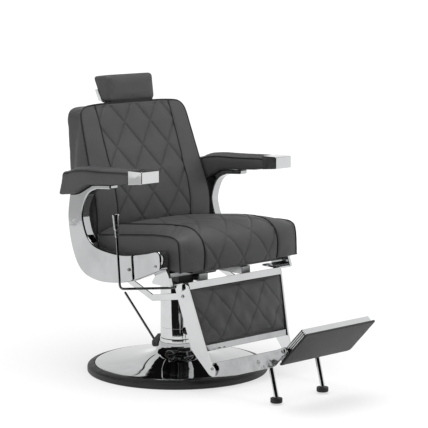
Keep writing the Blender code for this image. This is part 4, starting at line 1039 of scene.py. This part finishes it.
def seat_cover():
    """The seat's cover before filling: a flat panel between two bolsters, square at the piped sides."""
    steps = 60
    middle, edge = evenly(SEAT_MIDDLE, steps), evenly(SEAT_EDGE, steps)
    run = np.gradient(middle, axis=0)
    out = np.stack([run[:, 1], -run[:, 0]], 1) / np.linalg.norm(run, axis=1, keepdims=True)
    rear, low = SEAT_REAR, SEAT_LOW
    loops = []
    bolster = [SEAT_HALF + (QUILT_HALF - SEAT_HALF) * k / 10 for k in range(10)]
    halves = bolster + [QUILT_HALF * (1 - k / 8) for k in range(8)]
    for x in [-half for half in halves] + [0.0] + halves[::-1]:
        part = np.clip((SEAT_HALF - abs(x)) / (SEAT_HALF - QUILT_HALF), 0, 1)
        rise = 0.0065 * math.sin(math.pi * part) if part < 1 else 0.004 * (1 - (x / QUILT_HALF) ** 2)
        line = edge + (middle - edge) * part + out * rise
        line[0, 0] = rear
        line[-1, 1] = low
        loop = [(x, y, z) for y, z in line]
        loop += [(x, line[-1, 0] + (rear - line[-1, 0]) * k / 12, low) for k in range(1, 12)]
        loop += [(x, rear, low + (line[0, 1] - low) * k / 4) for k in range(4)]
        loops.append(loop)
    return skin("seat_cover", loops)


def back_cover():
    """The backrest's cover before filling: sharp at the piped front edge, round at the rear."""
    heights = [BACK_LOW + (BACK_BEND - BACK_LOW) * k / 30 for k in range(31)]
    heights += [BACK_BEND + BACK_CORNER * math.sin(math.pi / 2 * k / 10) for k in range(1, 11)]
    rings = []
    for z in heights:
        half, front = back_half(z), back_front(z)
        over = max(z - (BACK_TOP - BACK_REAR_ROUND), 0)
        rear = back_rear(z) + BACK_FULLNESS - BACK_REAR_ROUND
        rear += math.sqrt(max(BACK_REAR_ROUND**2 - over**2, 0))
        deep = rear - front
        ring = [(half * (2 * k / 30 - 1), front, z) for k in range(31)]
        turn = min(0.010, deep * 0.48, half * 0.5)
        right = [(half, front + (deep - turn) * k / 8) for k in range(1, 9)]
        for k in range(1, 9):
            a = math.pi / 2 * k / 8
            right.append((half - turn + turn * math.cos(a), rear - turn + turn * math.sin(a)))
        ring += [(x, y, z) for x, y in right]
        ring += [((half - turn) * (1 - 2 * k / 24), rear, z) for k in range(1, 24)]
        ring += [(-x, y, z) for x, y in reversed(right)]
        rings.append(ring)
    return skin("back_cover", rings)


HEAD_LOW, HEAD_TOP, HEAD_HALF = 0.9095, 1.0025, 0.1055
HEAD_FRONT_RISE, HEAD_REAR_DROP, HEAD_ROUND = 0.003, 0.009, 0.013


def head_front(z):
    return level([(HEAD_LOW, 0.2240), (HEAD_TOP, 0.2370)], z)


def head_rear(z):
    return level([(HEAD_LOW, 0.2762), (HEAD_TOP, 0.3251)], z)


def headrest_cover():
    """The headrest's cover before filling: a wedge with rounded edges."""
    bpy.ops.object.select_all(action="DESELECT")
    bpy.ops.mesh.primitive_cube_add(size=2)
    piece = bpy.context.object
    for point in piece.data.vertices:
        rear = point.co.y > 0
        if point.co.z > 0:
            z = HEAD_TOP - HEAD_REAR_DROP * rear
        else:
            z = HEAD_LOW + HEAD_FRONT_RISE * (not rear)
        y = head_rear(z) if rear else head_front(z)
        point.co = (HEAD_HALF * point.co.x, y, z)
    work(piece, "BEVEL", width=HEAD_ROUND, segments=6, limit_method="NONE")
    return piece


def headrest_welt_and_shade():
    """The dark welt under the headrest's front edge and a little way along both ends: partly piping, partly
    painted shade for the dark band under the headrest.
    """
    low, half = HEAD_LOW + 0.0015, HEAD_HALF - 0.008
    front, rear = head_front(HEAD_LOW) + 0.010, head_rear(HEAD_LOW) - 0.012
    corners = [(-half, rear), (-half, front), (half, front), (half, rear)]
    line = [Vector((x, y, low)) for x, y in corners]
    return [a.lerp(b, k / 24) for a, b in zip(line, line[1:]) for k in range(24)] + line[-1:]


def build_headrest_ears():
    """The two ears by which the headrest's bracket holds the pad's ends, low at the rear."""
    low, high, ears = 0.9125, 0.9500, []

    def leaf(at_low, at_high):
        """An outline from these places, low and high, to just behind the pad."""
        corners = [(head_rear(low) + at_low, low), (head_rear(low) + 0.0025, low)]
        return corners + [(head_rear(high) + 0.0025, high), (head_rear(high) + at_high, high)]

    clasp = rounded([(y, z, 0.003) for y, z in leaf(-0.015, -0.012)], 4)
    wing = leaf(0.0007, 0.0007)
    for _, sign in SIDES:
        ears.append(plate_x("clasp", clasp, *sorted((sign * 0.1062, sign * 0.1082))))
        ears.append(plate_x("wing", wing, *sorted((sign * 0.0936, sign * 0.1075))))
    ears = join("headrest_ears", ears)
    ease_edges(ears, 0.0005, 2)
    fit(ears, chrome, body="headrest", slot="chrome")


def finely(loop, steps):
    """A closed outline with this many steps from each point to the next, back to its start."""
    fine = [a.lerp(b, k / steps) for a, b in zip(loop, loop[1:] + loop[:1]) for k in range(steps)]
    return fine + fine[:1]


def sole_border(w):
    """The edge of the footplate's padded underside, this far in from its face."""
    half = PLATE_HALF
    corners = [(-half, 0.0), (half, 0.0), (half, PLATE_LENGTH), (-half, PLATE_LENGTH)]
    loop = rounded([(x, u, 0.005) for x, u in corners], 6)
    return [(p.x, *foot(p.y, w)) for p in finely(loop, 12)]


def back_panel():
    """The seam round the panel on the rear of the backrest."""
    top, low = BACK_TOP - 0.040, BACK_LOW + 0.045
    corners = [(-back_half(low) + 0.040, low, 0.030), (back_half(low) - 0.040, low, 0.030)]
    corners += [(back_half(top) - 0.020, top, 0.040), (-back_half(top) + 0.020, top, 0.040)]
    return [(p.x, back_rear(p.y) + 0.011, p.y) for p in finely(rounded(corners, 8), 30)]


def back_border():
    """The piped edge of the backrest's front, from the lower right round the top to the lower left."""
    heights = [BACK_LOW + (BACK_BEND - BACK_LOW) * k / 40 for k in range(41)]
    right = [(-back_half(z), back_front(z), z) for z in heights]
    for k in range(1, 13):
        a = math.pi / 2 * k / 12
        z = BACK_BEND + BACK_CORNER * math.sin(a)
        half = back_half(BACK_BEND) - BACK_CORNER + BACK_CORNER * math.cos(a)
        right.append((-half, back_front(z), z))
    across = right[-1][0]
    top = []
    for k in range(1, 30):
        share = 2 * k / 30 - 1
        top.append((-across * share, right[-1][1], BACK_TOP + 0.005 * (1 - share**4)))
    return right + top + [(-x, y, z) for x, y, z in reversed(right)]


def armrest_lines(sign):
    """The piped seams along both sides of an armrest, just under its top."""
    places = np.linspace(0.188, -0.139, 40)
    return [[(sign * x, y, level(ARMREST_OVER, y) - 0.004) for y in places] for x in (0.2695, 0.3395)]


def armrest_end(sign):
    """The edges of an armrest's rear end: across its top, and down both sides."""
    across = []
    for k in range(13):
        across.append((sign * (0.2720 + 0.0660 * k / 12), 0.1900, 0.6920 + 0.0050 * math.sin(math.pi * k / 12)))
    edges = [across]
    for x in (0.2690, 0.3405):
        edges.append([(sign * x, 0.1905 + 0.0205 * k / 8, 0.6880 - 0.0680 * k / 8) for k in range(9)])
    return edges


def seat_rests(co):
    return (co[:, 2] < SEAT_LOW + 0.008) | (co[:, 1] > 0.098)


def back_rests(co):
    return co[:, 2] < BACK_LOW + 0.006


def headrest_rests(co):
    return co[:, 1] > 0.238 + 0.14 * (co[:, 2] - HEAD_LOW)


def legrest_rests(co):
    return (co[:, 1:] - np.array(PAD_TOP)) @ np.array(LEG_OUT) < -0.010


def sole_rests(co):
    return (co[:, 1:] - np.array(PLATE_REAR)) @ np.array(PLATE_THROUGH) > 0.006


def armrest_rests(co):
    under = np.interp(co[:, 1], [p[0] for p in ARMREST_UNDER], [p[1] for p in ARMREST_UNDER])
    return (co[:, 2] < under + 0.006) | (co[:, 1] < -0.136)


SEAT_SIDES = [[(x, *p) for p in SEAT_EDGE] for x in (-SEAT_HALF, SEAT_HALF)]
BACK_BORDER = back_border()
SOLE_EDGE = sole_border(0.004)

# Where two quilting lines cross, along each cushion, and how far the seat's diamonds are drawn out
SEAT_CROSSING, SEAT_STRETCH = 0.332, 0.92
BACK_CROSSING = 0.919
LEG_CROSSING = 0.0145


def sew_seat(seat):
    co, out = points_of(seat), normals_of(seat)
    middle = np.array([tuple(p) for p in SEAT_MIDDLE])
    length = np.concatenate([[0], np.cumsum(np.linalg.norm(np.diff(middle, axis=0), axis=1))])
    far, place = along_path(co[:, 1:], middle)
    down = np.interp(place, np.arange(len(length)), length)
    panel = (np.abs(co[:, 0]) < QUILT_HALF) & (far < 0.03) & ((out[:, 2] > 0.1) | (out[:, 1] < -0.3))
    welts = [[(x, *p) for p in SEAT_MIDDLE] for x in (-QUILT_HALF, QUILT_HALF)]
    sew(seat, co[:, 0], (down - SEAT_CROSSING) * SEAT_STRETCH, panel, welts + SEAT_SIDES, 0.0008)
    fit(seat, quilted_leather, "seat_cushion")
    seams = [(path, 0.0029) for path in welts] + [(path, 0.0027) for path in SEAT_SIDES]
    pipe("seat_piping", seat, seams, "seat", 0.0009)


def sew_back(back):
    co, out = points_of(back), normals_of(back)
    panel = (np.abs(co[:, 0]) < QUILT_HALF) & (out[:, 1] < -0.5) & (co[:, 2] < BACK_TOP - 0.004)
    heights = np.linspace(BACK_LOW + 0.01, BACK_TOP - 0.004, 60)
    welts = [[(x, back_front(z), z) for z in heights] for x in (-QUILT_HALF, QUILT_HALF)]
    rear = on_surface(back, back_panel(), 0.0)
    sew(back, co[:, 0], co[:, 2] - BACK_CROSSING, panel, welts + [BACK_BORDER, rear])
    fit(back, quilted_leather, "back_cushion", "back_shell")
    seams = [(path, 0.0021) for path in welts] + [(BACK_BORDER, 0.0030), (rear, 0.0020)]
    pipe("back_piping", back, seams, "backrest")
    slot = [(-0.036, 0.2725), (0.036, 0.2725), (0.036, 0.2925), (-0.036, 0.2925)]
    ring = rounded([(x, y, 0.006) for x, y in slot], 6)
    ring = on_surface(back, [(p.x, p.y, BACK_TOP) for p in ring], 0.0006)
    fit(tube("headrest_slot_bead", ring, 0.0026, 12, True), chrome, body="backrest", slot="chrome")


def sew_legrest(leg_pad):
    co = points_of(leg_pad)
    flat = co[:, 1:] - np.array(PAD_TOP)
    s, n = flat @ np.array(LEG_DOWN), flat @ np.array(LEG_OUT)
    panel = (n > -0.006) & (s > 0.004) & (s < 0.183)
    sew(leg_pad, co[:, 0], s - LEG_CROSSING, panel, [], 0.0010)
    fit(leg_pad, quilted_leather, "legrest_cushion")


def sew_plain(piece, finish, solid, paths=()):
    """A cushion without quilting, drawn in along its piped seams alone."""
    nothing = np.zeros(len(piece.data.vertices))
    sew(piece, nothing, nothing, nothing > 1, paths)
    fit(piece, finish, solid)


def build_cushions():
    seat = soft_start("seat_pad", seat_cover(), 0.006, 0.002, 1)
    back = soft_start("back_pad", back_cover(), 0.006, 0.002, 1)
    head = soft_start("headrest_pad", headrest_cover(), 0.004, 0.001, 1)
    leg_pad = soft_start("legrest_pad", copy_of("legrest_cushion", "legrest_pad"), 0.005, 0.001, 3)
    sole = soft_start("footplate_sole", copy_of("footplate_pad", "footplate_sole"), 0.004, 0.0005, 1)
    stands_for = {
        seat: ["seat_cushion"],
        back: ["back_cushion", "back_shell"],
        head: ["headrest_cushion"],
        leg_pad: ["legrest_cushion"],
        sole: ["footplate_pad"],
    }
    # Each cushion, where it rests, its piped edges, and how far it may be blown out
    cushions = [
        (seat, seat_rests, SEAT_SIDES, 0.006),
        (back, back_rests, [BACK_BORDER], 0.006),
        (head, headrest_rests, [], 0.0030),
        (leg_pad, legrest_rests, [], 0.005),
        (sole, sole_rests, [SOLE_EDGE], 0.0030),
    ]
    rests = {}
    for side, sign in SIDES:
        solid = "armrest_pad_" + side
        rests[side] = soft_start("armrest_pad_sewn_" + side, copy_of(solid, "armrest"), 0.005, 0.001, 1)
        stands_for[rests[side]] = [solid]
        cushions.append((rests[side], armrest_rests, armrest_lines(sign), 0.004))
    fill_cushions(cushions)
    for piece, *_ in cushions:
        work(piece, "SUBSURF", levels=1, render_levels=1)
        full_size(piece, *stands_for[piece], axes=(0, 2) if piece is head else (0, 1, 2))
    draw_out(seat, SEAT_SIDES)
    draw_out(back, [BACK_BORDER])
    draw_out(sole, [SOLE_EDGE])
    for side, sign in SIDES:
        draw_out(rests[side], armrest_end(sign), 0.022)
        draw_out(rests[side], armrest_lines(sign), 0.010)

    sew_seat(seat)
    sew_back(back)
    sew_legrest(leg_pad)
    for side, sign in SIDES:
        lines = armrest_lines(sign)
        sew_plain(rests[side], plain_leather, "armrest_pad_" + side, lines)
        pipe("armrest_piping_" + side, rests[side], [(line, 0.0020) for line in lines], "seat")
    for piece, finish, solid in (
        (head, plain_leather, "headrest_cushion"), (sole, dark_leather, "footplate_pad")
    ):
        sew_plain(piece, finish, solid)
    # Painted shade: this thick dark welt also stands in for the shade under the headrest's front edge
    pipe("headrest_piping_and_shade", head, [(headrest_welt_and_shade(), 0.0042)], "headrest", 0.0002)


# Studio


CARD_RADIUS, CARD_TOP = 2.6, 4.6
CEILING_RADIUS, CEILING_HEIGHT = 3.05, 3.4
ABOVE_FLOOR = 0.002


def build_floor():
    """A pale floor that looks evenly white."""
    bpy.ops.object.select_all(action="DESELECT")
    bpy.ops.mesh.primitive_plane_add(size=90, location=(0, 0, -0.0005))
    floor = bpy.context.object
    floor.name = "studio_floor"
    finish, tree, shader = new_finish("pale_floor")
    shader.inputs["Base Color"].default_value = (0.45, 0.45, 0.45, 1)
    shader.inputs["Roughness"].default_value = 0.9
    shader.inputs["Specular IOR Level"].default_value = 0.0
    path = node(tree, "LightPath").outputs
    seen = maths(tree, "MAXIMUM", path["Is Camera Ray"], path["Is Glossy Ray"])
    place = own_place(tree)
    out = node(tree, "VectorMath", [(0, place), (1, place)], operation="DOT_PRODUCT").outputs["Value"]
    # The floor's own glow is less where the overhead lamp lights it
    lamp_share = maths(tree, "POWER", maths(tree, "MULTIPLY_ADD", out, 0.0977, 1.0), -2.0)
    glow = node(tree, "Emission")
    strength = maths(tree, "MULTIPLY_ADD", lamp_share, -0.24, 0.785)
    tree.links.new(maths(tree, "MULTIPLY", seen, strength), glow.inputs["Strength"])
    both = node(tree, "AddShader", [(0, shader.outputs[0]), (1, glow.outputs[0])])
    tree.links.new(both.outputs[0], tree.nodes["Material Output"].inputs["Surface"])
    floor.data.materials.append(finish)


def build_surround():
    """A white surround, and two lamps."""
    scene = bpy.context.scene
    world = scene.world or bpy.data.worlds.new("studio")
    scene.world = world
    world.use_nodes = True
    tree = world.node_tree
    ground = tree.nodes["Background"]
    ground.inputs["Color"].default_value = (1, 1, 1, 1)
    path = node(tree, "LightPath").outputs
    seen = maths(tree, "MAXIMUM", path["Is Camera Ray"], path["Is Glossy Ray"])
    seen = maths(tree, "MAXIMUM", seen, path["Is Transmission Ray"])
    tree.links.new(ranged(tree, seen, 0, 1, 0.66, 1.0), ground.inputs["Strength"])

    for name, place, size, power in (
        ("overhead_softbox", (-0.3, -0.4, 3.2), 2.4, 54),
        ("left_softbox", (-3.0, -0.6, 1.6), 1.8, 14),
    ):
        lamp = bpy.data.lights.new(name, "AREA")
        lamp.shape = "SQUARE"
        lamp.size = size
        lamp.energy = power
        box = bpy.data.objects.new(name, lamp)
        scene.collection.objects.link(box)
        box.location = place
        box.rotation_euler = (Vector((0, -0.1, 0.5)) - Vector(place)).to_track_quat("-Z", "Y").to_euler()


def build_cards():
    """Cards that only polished metal sees: black ones round and above the chair, and one pale grey one."""
    black_card, _, shader = new_finish("black_card")
    shader.inputs["Base Color"].default_value = (0.010, 0.010, 0.010, 1)
    shader.inputs["Specular IOR Level"].default_value = 0.0
    grey_card, _, shader = new_finish("grey_card")
    shader.inputs["Base Color"].default_value = (0.85, 0.85, 0.85, 1)
    towards, right, up = Vector((-0.690, -0.7238, 0)), Vector((0.7238, -0.690, 0)), Vector((0, 0, 1))

    def card(name, points, finish):
        piece = draw(name, points)
        bpy.ops.mesh.edge_face_add()
        close_up()
        piece.data.materials.append(finish)
        return piece

    def fan(radius, start, end):
        turns = np.radians(np.linspace(start, end, 20))
        return [(towards * math.cos(a) + right * math.sin(a)) * radius + up * ABOVE_FLOOR for a in turns]

    cards = [card("floor_card", fan(0.63, -33, 40) + fan(2.55, 40, -45), black_card)]
    half = [(0.28, 0.9), (0.31, 1.4), (0.44, 1.75), (0.91, 2.55), (1.6, 3.4)]
    behind = [(-r, z) for r, z in half] + [(r, z) for r, z in reversed(half)]
    cards.append(card("rear_card", [towards * -3.0 + right * r + up * z for r, z in behind], black_card))
    turns = np.radians(np.linspace(0, 350, 36))
    above = [(CEILING_RADIUS * math.cos(a), CEILING_RADIUS * math.sin(a), CEILING_HEIGHT) for a in turns]
    cards.append(card("ceiling_card", above, black_card))
    spot = Vector((-3.55, 3.25, ABOVE_FLOOR))
    square = [spot + towards * e + right * r for e, r in ((-1, -1), (1, -1), (1, 1), (-1, 1))]
    cards.append(card("side_card", square, grey_card))
    for name, start, end, low in (("front_card", -112, 24, 0.0), ("left_card", -184, -112, 1.0)):
        arc = [math.radians(a) for a in range(start, end + 1, 4)]
        piece = draw(name, [(CARD_RADIUS * math.sin(a), -CARD_RADIUS * math.cos(a), low) for a in arc])
        bpy.ops.mesh.extrude_region_move(TRANSFORM_OT_translate={"value": (0, 0, CARD_TOP - low)})
        close_up()
        piece.data.materials.append(black_card)
        cards.append(piece)
    for piece in cards:
        piece.visible_camera = False
        piece.visible_diffuse = False
        piece.visible_shadow = False
        piece.visible_transmission = False


def build_camera():
    """The camera that the photo was taken with, as solved from the photo."""
    azimuth, elevation, distance = math.radians(-43.63288), math.radians(8.254), 6.18041
    target = Vector((0.09066, -0.08643, 0.53783))
    back = Vector(
        (math.sin(azimuth) * math.cos(elevation), -math.cos(azimuth) * math.cos(elevation), math.sin(elevation))
    )
    lens = bpy.data.cameras.new("photo_camera")
    lens.lens = 152.91
    lens.sensor_width = 36
    camera = bpy.data.objects.new("photo_camera", lens)
    bpy.context.scene.collection.objects.link(camera)
    camera.location = target + back * distance
    camera.rotation_euler = (-back).to_track_quat("-Z", "Y").to_euler()
    bpy.context.scene.camera = camera


build_base()
build_pedal()
build_arms()
build_lever()
build_legrest_plates()
build_footrest()
build_links()
build_bolts()
# Pieces that keep the CAD's own shape, with the width of their eased edges. Two ends mean a pair
for name, ends, edge in (
    ("pedal_bracket", ("",), 0.0010), ("swivel_plate", ("",), 0.0015), ("seat_rail", ("_R", "_L"), 0.0020),
    ("seat_cross", ("_front", "_middle"), 0.0015), ("seat_board", ("",), 0.0015), ("recline_lock", ("",), 0.0015),
    ("front_bracket", ("_R", "_L"), 0.0012), ("armrest_cap", ("_R", "_L"), 0.0008),
    ("recline_pin", ("_R", "_L"), 0.0006), ("lever_bracket", ("",), 0.0010), ("back_board", ("",), 0.0008),
    ("back_crank", ("_R", "_L"), 0.0008), ("headrest_guide", ("",), 0.0006), ("headrest_bar", ("",), 0.0008),
    ("headrest_bracket", ("",), 0.0006), ("legrest_panel", ("",), 0.0010), ("legrest_strip_top", ("",), 0.0010),
    ("base_plate", ("",), 0.0010),
):
    for end in ends:
        dress(name + end, FINISH_OF[slot_of[name + end]], edge)
dress("legrest_strip_bottom", pressed_chrome, 0.0010)
build_headrest_ears()
build_cushions()
build_floor()
build_surround()
build_cards()
build_camera()
bpy.context.scene.view_settings.view_transform = "Standard"
